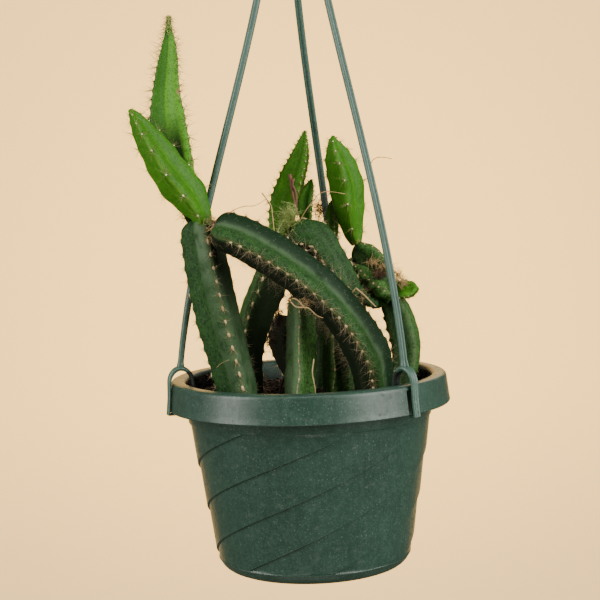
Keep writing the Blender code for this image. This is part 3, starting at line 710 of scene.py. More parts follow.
class Finish(Enum):
    """The finishes that the pieces use."""

    POT = MouldedPlastic("pot_green", (0.0112, 0.039, 0.0265), (0.0195, 0.059, 0.040),
                         (0.13, 0.21, 0.16), dusting=0.06, flecks=0.42)
    HANGER = MouldedPlastic("hanger_green", (0.034, 0.084, 0.062), (0.054, 0.120, 0.092),
                            (0.16, 0.28, 0.21), bloom=(0.09, 0.17, 0.13), mottling=0.35,
                            roughness=0.38, flecks=0.15, dusting=0.05, streaks=0.0)
    OLD_SKIN = StemSkin("old_stem_skin", deep=(0.008, 0.032, 0.009), fresh=(0.019, 0.064, 0.014),
                        painted_light=(0.070, 0.190, 0.034), mottle_and_painted_shade=(0.004, 0.020, 0.006),
                        shade=(0.0055, 0.0080, 0.0032), valley=(0.095, 0.150, 0.086),
                        edge=(0.10, 0.10, 0.035), speck=(0.12, 0.18, 0.085),
                        scar=(0.20, 0.115, 0.06), cork=(0.38, 0.36, 0.16), bloom_and_sheen_share=0.75,
                        edge_share=0.35, edge_start=0.965, speck_share=0.45,
                        mottling=0.7, wrinkling=0.8, roughness=0.55, gloss=0.17, glow=0.02)
    YOUNG_SKIN = StemSkin("young_stem_skin", deep=(0.026, 0.115, 0.002),
                          fresh=(0.052, 0.190, 0.004), painted_light=(0.085, 0.27, 0.014),
                          mottle_and_painted_shade=(0.016, 0.085, 0.004), shade=(0.008, 0.03, 0.002),
                          valley=(0.12, 0.30, 0.025), edge=(0.13, 0.24, 0.03),
                          speck=(0.17, 0.34, 0.08), scar=(0.26, 0.19, 0.075),
                          cork=(0.5, 0.4, 0.2), bloom_and_sheen_share=0.6,
                          edge_share=0.6, edge_start=0.982, speck_share=0.35, mottling=0.45,
                          wrinkling=0.5, roughness=0.5, gloss=0.25, glow=0.10)
    WOOL = Fibre("areole_wool", (0.30, 0.21, 0.08), (0.72, 0.60, 0.33), (0.8, 0.7, 0.45), 0.2,
                 0.9, 0.1)
    WHITE_WOOL = Fibre("young_wool", (0.58, 0.64, 0.30), (0.86, 0.90, 0.55), (0.95, 1.0, 0.7),
                       0.2, 0.9, 0.1)
    BRISTLE = Fibre("old_bristle", (0.075, 0.05, 0.025), (0.44, 0.34, 0.19),
                    (0.50, 0.41, 0.26), 0.5, 0.5)
    PALE_BRISTLE = Fibre("young_bristle", (0.13, 0.11, 0.03), (0.40, 0.38, 0.15),
                         (0.14, 0.09, 0.035), 0.7, 0.45)
    STRAW = Fibre("dry_straw", (0.20, 0.11, 0.04), (0.64, 0.45, 0.20), (0.62, 0.46, 0.24), 0.3)
    ROOT = Fibre("dry_root", (0.07, 0.035, 0.018), (0.26, 0.15, 0.08), (0.22, 0.13, 0.07), 0.3)
    MOSSY = Fibre("green_fibre", (0.11, 0.20, 0.02), (0.40, 0.50, 0.13), (0.56, 0.58, 0.24), 0.5)
    BARK = Fibre("dark_stick", (0.010, 0.008, 0.005), (0.045, 0.030, 0.017),
                 (0.05, 0.035, 0.02), 0.3, 0.8)
    PINK = Fibre("dry_stalk", (0.05, 0.018, 0.010), (0.26, 0.12, 0.07), (0.28, 0.14, 0.09), 0.3)
    PEAT = Peat("peat")


@cache
def material_of(finish: Finish) -> bpy.types.Material:
    """The finish's material, which is made once."""
    return finish.value.material()


# Pot

@dataclass(frozen=True)
class Rod:
    """One hanger rod.

    Its bearing is in degrees. Its two middle control points bow outwards and aside, breadth
    and depth scale its section, and it is darker towards its foot below a height of its own.
    """

    azimuth: float
    bow_low: float
    bow_high: float
    side_low: float
    side_high: float
    breadth: float
    depth: float
    darkening_top: float = 0.0

    @property
    def outward(self) -> Array:
        """The direction from the pot's axis to the rod's clip."""
        return polar(1.0, math.radians(self.azimuth), 0.0)

    @property
    def along(self) -> Array:
        """The direction along the rim at the rod's clip."""
        turn = math.radians(self.azimuth)
        return np.array([-math.sin(turn), math.cos(turn), 0.0])

    @property
    def turned(self) -> Matrix:
        """The turn from the X axis to the rod's bearing."""
        return Matrix.Rotation(math.radians(self.azimuth), 4, "Z")


RODS = {
    "hanger_rod_left": Rod(194.5, 9.4, -17.9, 0.9, 0.9, 1.2, 1.24),
    "hanger_rod_right": Rod(314.5, 11.4, -11.6, 0.8, 0.8, 1.1, 1.0),
    "hanger_rod_rear": Rod(74.5, 18.2, -22.3, 0.8, 7.1, 1.08, 1.0, 212.0),
}


def bare_wall(angle: Array) -> Array:
    """How free of soil the pot's inner wall is on each bearing: it is bare at the back left."""
    bearing = math.radians(112.0)
    edge, softness = 0.80, 0.10
    return np.clip((np.cos(angle - bearing) - edge) / softness, 0.0, 1.0)


@dataclass(frozen=True)
class Pot:
    """The thin moulded pot, with its rolled rim, skirt, spiral relief, notches and drains."""

    radius_low: float = 53.1
    radius_high: float = 65.5
    level_low: float = 15.0
    rim_top: float = 101.9
    wall: float = 1.4
    floor: float = 3.0
    bands: int = 7
    band_columns: int = 44
    relief_foot: float = 7.0
    relief_top: float = 80.0
    relief_rows: int = 62
    relief_step: float = 1.0
    relief_slope: float = 0.449
    relief_start: float = math.radians(-129.5)
    step_angle: float = math.radians(0.9)
    groove: float = 0.14
    notch_size: Point = (10.5, 3.6, 15.6)
    notch_circle: float = 74.75
    notch_level: float = 91.7
    notch_offset: float = -2.4
    drains: int = 5
    drain_radius: float = 4.0
    drain_circle: float = 28.0
    drain_columns: int = 28
    inner_rows: int = 10
    # The pot's inner wall is painted dark below a height, part peat dirt and part painted shade, and
    # lower where the wall is bare of soil.
    darkened_top: float = 104.0
    bare_drop: float = 10.4
    darkened_fade: float = 3.0

    def body(self, height: float) -> float:
        """The body's outside radius below its relief."""
        slope = (self.radius_high - self.radius_low) / (SKIRT_FOOT - self.level_low)
        return self.radius_low + slope * (height - self.level_low) - 0.5 * self.relief_step

    def twist(self, height: float) -> float:
        """How far the relief has turned at a height, in radians."""
        middle = self.body(0.5 * (self.relief_foot + self.relief_top))
        return (height - self.relief_foot) / (self.relief_slope * middle)

    def foot_profile(self) -> list[tuple[float, float]]:
        """Radius and height of each ring from under the floor up to the relief."""
        low = self.relief_foot
        edge = self.body(low) + 0.45
        return [
            (0.0, 1.5), (20.0, 1.5), (38.4, 1.5), (39.2, 1.2), (39.7, 0.4), (40.3, 0.0),
            (43.4, 0.0), (44.6, 0.15), (46.1, 0.5), (47.5, 1.1), (48.9, 2.1), (50.0, 3.3),
            (50.9, 4.8), (edge, low - 1.0), (edge - self.groove, low - 0.45),
        ]

    def skirt_profile(self) -> list[tuple[float, float]]:
        """Radius and height of each ring from the relief round the skirt up to the rim."""
        high, foot, outside = self.relief_top, SKIRT_FOOT, SKIRT_RADIUS
        collar = self.body(high) + self.relief_step
        within, face = outside - self.wall, outside - 0.25
        rows = [
            (collar - 0.1, high + 0.35), (collar, high + 0.7),
            (self.radius_high - 0.3, foot - 2.0), (self.radius_high + 0.3, 92.0), (66.0, 97.0),
            (66.6, 99.3), (67.4, 100.1), (70.9, 100.1), (71.7, 99.4),
        ]
        rows += [(within - 0.12 * (level - foot), level) for level in (96.0, 92.0, foot + 0.8)]
        rows += [
            (within, foot + 0.3), (outside - 1.15, foot + 0.05), (outside - 0.7, foot),
            (face, foot + 0.1), (outside, foot + 0.5), (outside - 0.08, foot + 1.1),
            (face, foot + 1.7),
        ]
        for level in (91.0, 94.0, 97.0, 99.4):
            rows.append((face - 0.118 * (level - foot - 1.7), level))
        return rows

    def rim_profile(self) -> list[tuple[float, float]]:
        """Radius and height of each ring from the rim down the inner wall to the floor."""
        rim, floor = self.rim_top, self.floor
        rows = [
            (73.35, rim - 1.6), (73.1, rim - 1.0), (72.6, rim - 0.5), (71.9, rim - 0.15),
            (71.0, rim), (69.0, rim), (67.6, rim - 0.05), (66.7, rim - 0.3), (66.0, rim - 0.9),
            (65.5, rim - 1.7), (65.2, rim - 2.6), (64.4, 97.0),
        ]
        rows += [(self.body(level) - self.wall, level) for level in (92.0, 60.0, 9.0)]
        return rows + [(48.4, 4.8), (46.0, floor), (20.0, floor), (0.0, floor)]

    def outline(self) -> list[tuple[float, float, float]]:
        """Radius, height and share of relief of each ring, from under the floor to inside."""
        low, high = self.relief_foot, self.relief_top
        relief = []
        for step in range(self.relief_rows + 1):
            height = low + (high - low) * step / self.relief_rows
            relief.append((self.body(height), height, 1.0))
        above = self.skirt_profile() + self.rim_profile()
        return ([(radius, height, 0.0) for radius, height in self.foot_profile()] + relief
                + [(radius, height, 0.0) for radius, height in above])

    def band_places(self) -> list[tuple[float, float]]:
        """Angle within a band and relief there, denser towards the step that ends the band."""
        band = FULL_TURN / self.bands
        step = self.step_angle
        even = np.linspace(0.0, 1.0, self.band_columns - 8)[1:-1]
        places = [(0.0, 0.0), (0.35 * step, 0.02), (1.2 * step, 0.02)]
        for share in even:
            angle = 1.2 * step + share * (band - 4.0 * step)
            places.append((angle, angle / band))
        places += [(band - 2.0 * step, 0.97), (band - 1.2 * step, 0.99),
                   (band - 0.9 * step, 0.93), (band - 0.45 * step, 0.45),
                   (band - 0.12 * step, 0.06)]
        return places

    def rings(self) -> Array:
        """All points of the pot, in rows and columns that follow the spiral."""
        columns = []
        for number in range(self.bands):
            start = self.relief_start + number * FULL_TURN / self.bands
            columns += [(start + angle, relief) for angle, relief in self.band_places()]
        angles, relief = np.array(columns).T
        rings = []
        for radius, height, share in self.outline():
            turns = angles + self.twist(height if share else self.nearest_relief(height))
            reach = radius + share * self.relief_step * relief
            rings.append(ring(reach, turns, height))
        return np.array(rings)

    def nearest_relief(self, height: float) -> float:
        """The relief's end that is nearer to a height."""
        middle = 0.5 * (self.relief_foot + self.relief_top)
        return self.relief_foot if height < middle else self.relief_top

    def cutters(self) -> list[bpy.types.Object]:
        """The blocks that cut the rim's notches and the drums that cut the drain holes."""
        made = []
        for rod in RODS.values():
            centre = rod.outward * self.notch_circle + rod.along * self.notch_offset
            made.append(block(centre + UP * self.notch_level, self.notch_size, rod.turned))
        for number in range(self.drains):
            angle = FULL_TURN * number / self.drains
            centre = polar(self.drain_circle, angle, 0.5 * self.floor)
            bpy.ops.mesh.primitive_cylinder_add(vertices=self.drain_columns,
                                                radius=self.drain_radius * MM,
                                                depth=2.0 * self.floor * MM,
                                                location=to_world(centre))
            made.append(bpy.context.active_object)
        return made

    def build(self) -> bpy.types.Object:
        """Models the pot and dresses it."""
        rings = self.rings()
        inner = len(rings) - self.inner_rows
        # Painted shade and peat dirt on the inner wall's rows below a height.
        bare = bare_wall(np.arctan2(rings[..., 1], rings[..., 0]))
        depth = (self.darkened_top - self.bare_drop * bare - rings[..., 2]) / self.darkened_fade
        dirt_and_shade = np.where(np.arange(len(rings))[:, None] > inner, np.clip(depth, 0.0, 1.0), 0.0)
        pot = wrap("pot_shell", rings, {"dirt_and_shade": dirt_and_shade})
        for cutter in self.cutters():
            combine(pot, cutter, "DIFFERENCE")
        return place_piece(pot, Finish.POT, "pot", 32.0)


# Hanger

@dataclass(frozen=True)
class Hanger:
    """The hook with its hub, and the three grooved rods that end in clips."""

    hub_level: float = 390.0
    hub_radius: float = 9.5
    rod_circle: float = 5.5
    rod_width: float = 3.6
    rod_depth: float = 3.0
    groove: float = 0.75
    collar_places: tuple[float, ...] = (-0.003, 0.001, 0.004, 0.007, 0.010, 0.014)
    collar_scales: tuple[float, ...] = (1.1, 1.24, 1.28, 1.24, 1.1, 1.02)
    socket_depth: float = 4.0
    clip_radius: float = 68.9
    clip_top: float = 110.0
    clip_gap: float = 0.3
    strap_width: float = 5.2
    strap_thick: float = 1.6
    strap_ribs: int = 3
    rib_depth: float = 0.28
    tooth_circle: float = 74.5
    tooth_level: float = 86.1
    tooth_length: float = 3.6
    tooth_height: float = 0.9
    # The clips' inner legs are painted dark below a height, as painted shade; a rod is also darker
    # towards its foot below its own height, over a fade.
    darkened_top: float = 108.5
    darkening_fade: float = 25.0
    swelling: float = 0.5
    half_span: float = 6.2
    leg_top: float = 102.0
    hook_inner: float = 11.0
    hook_bar: float = 2.3
    hook_start: float = math.radians(-58.0)
    hook_end: float = math.radians(203.0)
    neck_foot: float = 9.0
    neck_pull: float = 7.0
    crown_pull: float = 5.0
    skirt_lean: float = 1.0 / 10.1

    def rod_line(self, rod: Rod, shares: Array) -> Array:
        """Points on a rod's middle line, from its clip at 0 to the hub at 1."""
        spare = 1.0 - shares
        radius = self.clip_radius + (self.rod_circle - self.clip_radius) * shares
        radius = radius + 3 * shares * spare ** 2 * rod.bow_low
        radius = radius + 3 * shares ** 2 * spare * rod.bow_high
        sideways = 3 * shares * spare * (rod.side_low * spare + rod.side_high * shares)
        height = self.clip_top + (self.hub_level - self.clip_top) * shares
        return (rod.outward * radius[:, None] + rod.along * sideways[:, None]
                + UP * height[:, None])

    @staticmethod
    def grooved(half_out: float, half_over: float, groove: float, power: float) -> Array:
        """A rounded bar's outline with a groove down its outer and inner face."""
        turns = full_turn(48)
        cos, sin = np.cos(turns), np.sin(turns)
        out = half_out * np.sign(cos) * np.abs(cos) ** power
        over = half_over * np.sign(sin) * np.abs(sin) ** power
        dent = groove * np.exp(-(over / (0.27 * half_over)) ** 2)
        return np.stack([out - np.sign(out) * dent, over], axis=1)

    @staticmethod
    def ribbed(half_wide: float, half_thick: float, ribs: int, depth: float) -> Array:
        """A flat strap's outline with ribs along both of its faces."""
        across = np.linspace(-1.0, 1.0, 8 * ribs + 1)[1:-1]
        dents = depth * (0.5 - 0.5 * np.cos(ribs * math.pi * across))
        face = half_thick * (1.0 - 0.45 * across ** 8) - dents
        upper = np.stack([across * half_wide, face], axis=1)[::-1]
        lower = np.stack([across * half_wide, -face], axis=1)
        return np.vstack([[(half_wide, 0.0)], upper, [(-half_wide, 0.0)], lower])

    def strap_line(self) -> Array:
        """The clip's middle line as radius, height and swelling: outer leg, arch, inner leg."""
        path = []
        for height in np.linspace(SKIRT_FOOT - 1.0, 95.0, 8):
            lean = self.skirt_lean * (SKIRT_FOOT - height)
            stand_off = self.clip_gap + 0.5 * self.strap_thick + lean
            path.append((SKIRT_RADIUS + stand_off, height, 1.0))
        for turn in np.linspace(0.0, math.pi, 26):
            path.append((self.clip_radius + self.half_span * math.cos(turn),
                         self.leg_top + (self.clip_top - self.leg_top) * math.sin(turn),
                         1.0 + self.swelling * math.sin(turn)))
        inner_leg = self.clip_radius - self.half_span
        path += [(inner_leg - 0.15, 99.0, 1.0), (inner_leg - 0.3, 96.5, 1.0)]
        return np.array(path)

    def build_rod(self, name: str, rod: Rod) -> bpy.types.Object:
        """Models one rod, its collar, clip and tooth as one skin."""
        top = 1.0 + self.socket_depth / (self.hub_level - self.clip_top)
        shares = np.concatenate([self.collar_places, np.linspace(0.03, top, 90)])
        scales = np.ones(len(shares))
        scales[:len(self.collar_scales)] = self.collar_scales
        section = self.grooved(0.5 * self.rod_depth, 0.5 * self.rod_width, self.groove, 0.7)
        ends = np.clip(6.0 * shares, 0.0, 1.0) * np.clip(9.0 - 9.0 * shares, 0.0, 1.0)
        widening = 1.0 + (rod.breadth - 1.0) * ends
        scales = scales * (1.0 + (rod.depth - 1.0) * ends)
        bar = sweep(name + "_bar", self.rod_line(rod, shares), rod.outward, section, scales,
                    widening)
        path = self.strap_line()
        line = rod.outward * path[:, :1]
        line[:, 2] = path[:, 1]
        outline = self.ribbed(0.5 * self.strap_width, 0.5 * self.strap_thick, self.strap_ribs,
                              self.rib_depth)
        strap = sweep(name + "_strap", line, rod.along, outline, np.ones(len(line)), path[:, 2])
        tooth_size = (self.tooth_length, 0.8 * self.strap_width, self.tooth_height)
        tooth = block(rod.outward * self.tooth_circle + UP * self.tooth_level, tooth_size,
                      rod.turned)
        moulding = self.fuse(name + "_moulding", [bar, strap, tooth], name)
        places = np.array([vertex.co for vertex in moulding.data.vertices]) / MM
        places[:, 2] += HANG_HEIGHT
        # Painted shade on the clip's inner leg, and darker towards the foot below the rod's own
        # height.
        inner = places @ rod.outward < self.clip_radius - 3.0
        inner = inner & (places[:, 2] < self.darkened_top)
        darkening = np.clip((rod.darkening_top - places[:, 2]) / self.darkening_fade, 0.0, 0.6)
        add_field(moulding.data, "dirt_and_shade", np.maximum(0.85 * inner, darkening))
        return moulding

    @staticmethod
    def fuse(name: str, parts: list[bpy.types.Object], node: str) -> bpy.types.Object:
        """Joins parts into one skin by a Boolean union and dresses it.

        Args:
            name: The piece's name.
            parts: The closed parts, which are used up.
            node: The CAD node that the piece stands for.

        Returns:
            The finished piece.
        """
        base = parts[0]
        for part in parts[1:]:
            combine(base, part, "UNION")
        base.name = base.data.name = name
        return place_piece(base, Finish.HANGER, node, 35.0)

    @staticmethod
    def upright(turn: float) -> Array:
        """The direction at an angle from the X axis in the hook's upright plane."""
        return np.array([math.cos(turn), 0.0, math.sin(turn)])

    def hook_line(self) -> Array:
        """The hook's middle line, from inside the hub round the crown to its tip."""
        crown = UP * (HANG_HEIGHT - self.hook_inner)
        radius = self.hook_inner + self.hook_bar
        start = self.hook_start
        heading = np.array([-math.sin(start), 0.0, math.cos(start)])
        first = crown + radius * self.upright(start)
        neck = UP * (self.hub_level + self.neck_foot)
        controls = [neck, neck + UP * self.neck_pull, first - heading * self.crown_pull, first]
        points = []
        for share in np.linspace(0.0, 1.0, 16, endpoint=False):
            row = controls
            while len(row) > 1:
                row = [a + (b - a) * share for a, b in zip(row, row[1:])]
            points.append(row[0])
        for turn in np.linspace(start, self.hook_end, 64):
            points.append(crown + radius * self.upright(turn))
        tail = unit(points[-1] - points[-2])
        points += [points[-1] + tail * step for step in (0.6, 1.1, 1.5)]
        return np.array(points)

    def build_hook(self) -> bpy.types.Object:
        """Models the hub and the hook as one skin."""
        line = self.hook_line()
        scales = np.ones(len(line))
        scales[-3:] = (0.96, 0.8, 0.45)
        section = self.grooved(self.hook_bar, self.hook_bar, 0.0, 1.0)
        bar = sweep("hook_bar", line, np.array([0.0, 1.0, 0.0]), section, scales)
        level, radius = self.hub_level, self.hub_radius
        outline = [
            (0.0, level - 4.0), (7.4, level - 4.0), (8.2, level - 3.8), (8.9, level - 3.2),
            (radius, level - 2.3), (radius, level + 3.6), (9.25, level + 4.9),
            (8.6, level + 6.2), (7.4, level + 7.7), (5.6, level + 9.0), (4.2, level + 9.9),
            (3.3, level + 10.7), (0.0, level + 10.7),
        ]
        turns = full_turn(60)
        hub = wrap("hub", np.array([ring(reach, turns, height) for reach, height in outline]))
        return self.fuse("hook_moulding", [hub, bar], "hanger_hook")

    def build(self) -> None:
        """Models the hook and the three rods."""
        self.build_hook()
        for name, rod in RODS.items():
            self.build_rod(name, rod)


# Peat

@dataclass(frozen=True)
class Soil:
    """The peat plug, with crumbs and fibres strewn on it."""

    ripple: float = 1.3
    calm_edge: float = 66.0
    calm_width: float = 12.0
    lumps: float = 0.495
    columns: int = 150
    rows: int = 54
    edge_gap: float = 0.3
    crumbs: int = 1700
    crumb_circle: float = 61.5
    crumb_least: float = 0.35
    crumb_range: float = 0.9
    crumb_lift: float = 0.2
    stuck: int = 1100
    stuck_circle: float = 64.2
    stuck_foot: float = 93.0
    stuck_climb: float = 7.5
    bare_drop: float = 8.0
    bank: float = 1.6
    bank_start: float = 54.0
    bank_width: float = 8.0
    fibres: int = 260
    fibre_circle: float = 59.0
    fibre_limit: float = 62.0
    fibre_steps: int = 6
    fibre_lift: float = 0.45
    fibre_arch: float = 0.9
    seed: int = 4

    def surface(self, radius: Array, angle: Array) -> Array:
        """The surface's height: low mounds, hollows and small lumps."""
        x, y = radius * np.cos(angle), radius * np.sin(angle)
        wave = np.sin(0.17 * x + 1.1) * np.cos(0.21 * y - 0.4)
        wave = wave + 0.5 * np.sin(0.43 * x - 0.37 * y)
        ease = np.minimum(1.0, (self.calm_edge - radius) / self.calm_width)
        small = np.sin(1.3 * x + 0.8 * np.sin(0.9 * y)) * np.sin(1.1 * y + 0.7 * np.sin(1.2 * x))
        small = small + 0.5 * np.sin(2.7 * x + y) * np.sin(2.3 * y - 0.6 * x)
        bank = self.bank * np.clip((radius - self.bank_start) / self.bank_width, 0.0, 1.0) ** 2
        bank = bank * (1.0 - 1.6 * bare_wall(angle))
        return SOIL_LEVEL + self.ripple * wave * ease + self.lumps * small + bank

    def build(self, pot: Pot) -> None:
        """Models the plug that fills the pot, the crumbs and the fibres."""
        turns = full_turn(self.columns)
        edge = pot.body(92.0) - pot.wall - self.edge_gap
        outline = [(0.0, 3.3), (45.7, 3.3), (48.1, 4.8), (pot.body(9.0) - 1.7, 9.0),
                   (edge - 0.7, 88.0)]
        rings = [ring(radius, turns, height) for radius, height in outline]
        for radius in np.linspace(edge, 0.0, self.rows):
            rings.append(ring(radius, turns, self.surface(np.full_like(turns, radius), turns)))
        rings = np.array(rings)
        draw = np.random.default_rng(self.seed)
        shade = draw.uniform(0.0, 1.0, rings.shape[:2])
        soil = wrap("peat_plug", rings, {"shade": shade})
        place_piece(soil, Finish.PEAT, "soil")
        self.strew_crumbs(draw)
        self.strew_fibres(draw)

    def strew_crumbs(self, draw: np.random.Generator) -> None:
        """Strews crumbs on the peat and sticks some to the pot's inner wall."""
        radius = self.crumb_circle * np.sqrt(draw.uniform(0.0, 1.0, self.crumbs))
        angle = draw.uniform(0.0, FULL_TURN, self.crumbs)
        turns = draw.uniform(0.0, FULL_TURN, self.stuck)
        climb = self.stuck_climb * draw.uniform(0.0, 1.0, self.stuck) ** 1.6
        climb = self.stuck_foot + climb - self.bare_drop * bare_wall(turns)
        level = self.surface(radius, angle) + self.crumb_lift
        places = np.concatenate([ring(radius, angle, level), ring(self.stuck_circle, turns, climb)])
        count = len(places)
        axes, _ = np.linalg.qr(draw.normal(size=(count, 3, 3)))
        size = draw.uniform(0.0, 1.0, (count, 1)) ** 2.5
        halves = self.crumb_least + self.crumb_range * size
        halves = halves * draw.uniform(0.5, 1.3, (count, 3))
        frames = axes * halves[:, :, None]
        lump = Pattern.lump(1, 0.25, self.seed)
        crumbs = lump.copies("peat_crumbs", places, frames, draw.uniform(0, 1, count))
        place_piece(crumbs, Finish.PEAT)

    def strew_fibres(self, draw: np.random.Generator) -> None:
        """Strews bent fibres on the peat."""
        radius = self.fibre_circle * np.sqrt(draw.uniform(0.0, 1.0, self.fibres))
        angle = draw.uniform(0.0, FULL_TURN, self.fibres)
        heading = draw.uniform(0.0, FULL_TURN, self.fibres)
        length = draw.uniform(3.0, 10.0, self.fibres)
        steps = np.linspace(0.0, 1.0, self.fibre_steps)
        bend = draw.uniform(-1.2, 1.2, (self.fibres, 1)) * steps[None] + heading[:, None]
        stride = length[:, None] / (self.fibre_steps - 1)
        x = radius[:, None] * np.cos(angle)[:, None] + np.cumsum(np.cos(bend) * stride, axis=1)
        y = radius[:, None] * np.sin(angle)[:, None] + np.cumsum(np.sin(bend) * stride, axis=1)
        reach = np.hypot(x, y)
        inside = reach.max(axis=1) < self.fibre_limit
        height = self.surface(reach, np.arctan2(y, x)) + self.fibre_lift
        arch = self.fibre_arch * np.sin(steps * math.pi)[None]
        height = height + arch * draw.uniform(0, 1, (self.fibres, 1))
        paths = np.stack([x, y, height], axis=2)[inside]
        count = len(paths)
        fibres = hairs("peat_fibres", paths, draw.uniform(0.10, 0.26, count),
                       draw.uniform(0.0, 1.0, count))
        place_piece(fibres, Finish.ROOT)


# Stems

RIBS = 3
ROW_STEP = 1.25
COLUMNS = 48
DOME_SHARE = 0.62
DOME_ROWS = 8
BARE_FOOT = 1.5
SMALLEST_AREOLE = 0.4
FULL_AREOLE_RUN = 25.0
BRISTLE_POINTS = 5
BRISTLE_ROOT = 0.35
BRISTLE_SPREAD = (15.0, 84.0)
BRISTLE_CURL = 0.035
TANGLED_SAG = 0.28
LAST_AREOLE_SHARE = 0.45
MARGIN_SHARE = 0.045


def nearest_rib(turns: Array) -> Array:
    """The number of the rib that is nearest to each angle from rib 0."""
    return np.round(turns * RIBS / FULL_TURN).astype(int) % RIBS


def crest_share(turns: Array) -> Array:
    """How near each angle from rib 0 is to a crest: 1 on it, 0 in the valley."""
    return np.abs(np.cos(0.5 * RIBS * turns))


@dataclass(frozen=True)
class Growth:
    """A stem's material slot and finishes, and the shape of its section."""

    slot: str
    skin: Finish
    wool: Finish
    bristle: Finish
    valley: float
    sharpness: float
    bloom_and_sheen_reach: float
    pad_shrinking: float


class Age(Enum):
    """What old stems have in common, and what young ones have."""

    OLD = Growth("old_stem", Finish.OLD_SKIN, Finish.WOOL, Finish.BRISTLE, valley=0.56,
                 sharpness=3.0, bloom_and_sheen_reach=0.7, pad_shrinking=0.0)
    YOUNG = Growth("young_stem", Finish.YOUNG_SKIN, Finish.WHITE_WOOL, Finish.PALE_BRISTLE,
                   valley=0.42, sharpness=4.0, bloom_and_sheen_reach=0.3, pad_shrinking=0.5)


@dataclass(frozen=True)
class Areoles:
    """How the woolly areoles and their bristles sit along a rib.

    Areoles are tip_step apart at the tip, and further apart by widening for each millimetre
    away from it, up to step. The pad is an areole's half sizes along the stem, across it and
    outward. Scallop is how far the crest sinks between areoles, as a share of its radius.
    """

    step: float
    tip_step: float
    widening: float
    bristles: int
    shortest: float
    longest: float
    thickness: float
    sag: float
    pad: Point
    scallop: float


OLD = Areoles(7.0, 4.5, 0.3, 15, 1.8, 6.0, 0.085, 0.10, (1.40, 0.75, 0.50), 0.035)
HAIRY = Areoles(5.4, 4.5, 0.3, 12, 3.5, 9.5, 0.062, 0.10, (0.85, 0.62, 0.52), 0.035)
SPARSE = Areoles(9.0, 7.0, 0.2, 5, 1.5, 4.5, 0.06, 0.2, (0.8, 0.5, 0.5), 0.03)
KNOBBLY = Areoles(3.2, 2.8, 0.2, 9, 1.5, 4.0, 0.065, 0.1, (0.5, 0.42, 0.4), 0.06)
YOUNG = Areoles(13.5, 3.0, 0.45, 12, 3.5, 8.5, 0.12, 0.03, (0.66, 0.56, 0.46), 0.06)
DENSE = Areoles(4.2, 2.0, 0.10, 14, 2.0, 5.0, 0.10, 0.03, (0.40, 0.36, 0.32), 0.08)
EDGED = Areoles(8.0, 1.6, 0.07, 13, 2.5, 8.0, 0.12, 0.03, (0.46, 0.40, 0.36), 0.07)


@dataclass(frozen=True)
class Stem:
    """One cactus stem: a route of (x, y, z, rib radius) and how it differs from the rest.

    Names that end in turn are bearings in degrees round the stem, from its front, and those
    that end in from, top or fade are shares of its length. Ribs are given by their numbers.
    Roll is the bearing of rib 0, and twist and wave turn the ribs away from it in degrees.
    Plump is an angle from rib 0 in degrees and how much fuller the stem is there. Scars are
    places with a radius. Bare is the length at the foot that has no areoles.
    """

    route: tuple
    roll: float
    age: Age = Age.OLD
    areoles: Areoles = OLD
    # Painted shade on the flank at this bearing.
    painted_shade_turn: float | None = None
    # Painted light on the flank at this bearing, and an even share of it over the whole stem.
    painted_light_turn: float | None = None
    brightness: float = 0.0
    shade_turn: float | None = None
    shading: float = 0.0
    # How strong the painted shade on that flank is.
    painted_shade_strength: float = 1.0
    shade_fade: tuple[float, float] | None = None
    lit: float = 1.0
    drift: float = 0.0
    # Pale bloom, part waxy and part painted sheen, in the valleys or in a band at a bearing, and a
    # painted sheen on one flank.
    bloom: float = 0.3
    bloom_and_sheen_turn: float | None = None
    bloom_and_sheen_from: float = 0.0
    painted_sheen: float = 0.0
    painted_sheen_turn: float = 0.0
    specks: float = 1.0
    plump: tuple[float, float] = (0.0, 0.0)
    twist: float = 0.0
    wave: float = 0.0
    bald: tuple[int, ...] = ()
    margined: tuple[int, ...] = ()
    margin_top: float = 0.5
    dry_tip: float = 0.0
    corky: tuple[int, ...] = ()
    tangled: tuple[int, ...] = ()
    scars: tuple[tuple[float, float, float, float], ...] = ()
    lumps: float = 0.0
    bare: float = 0.0


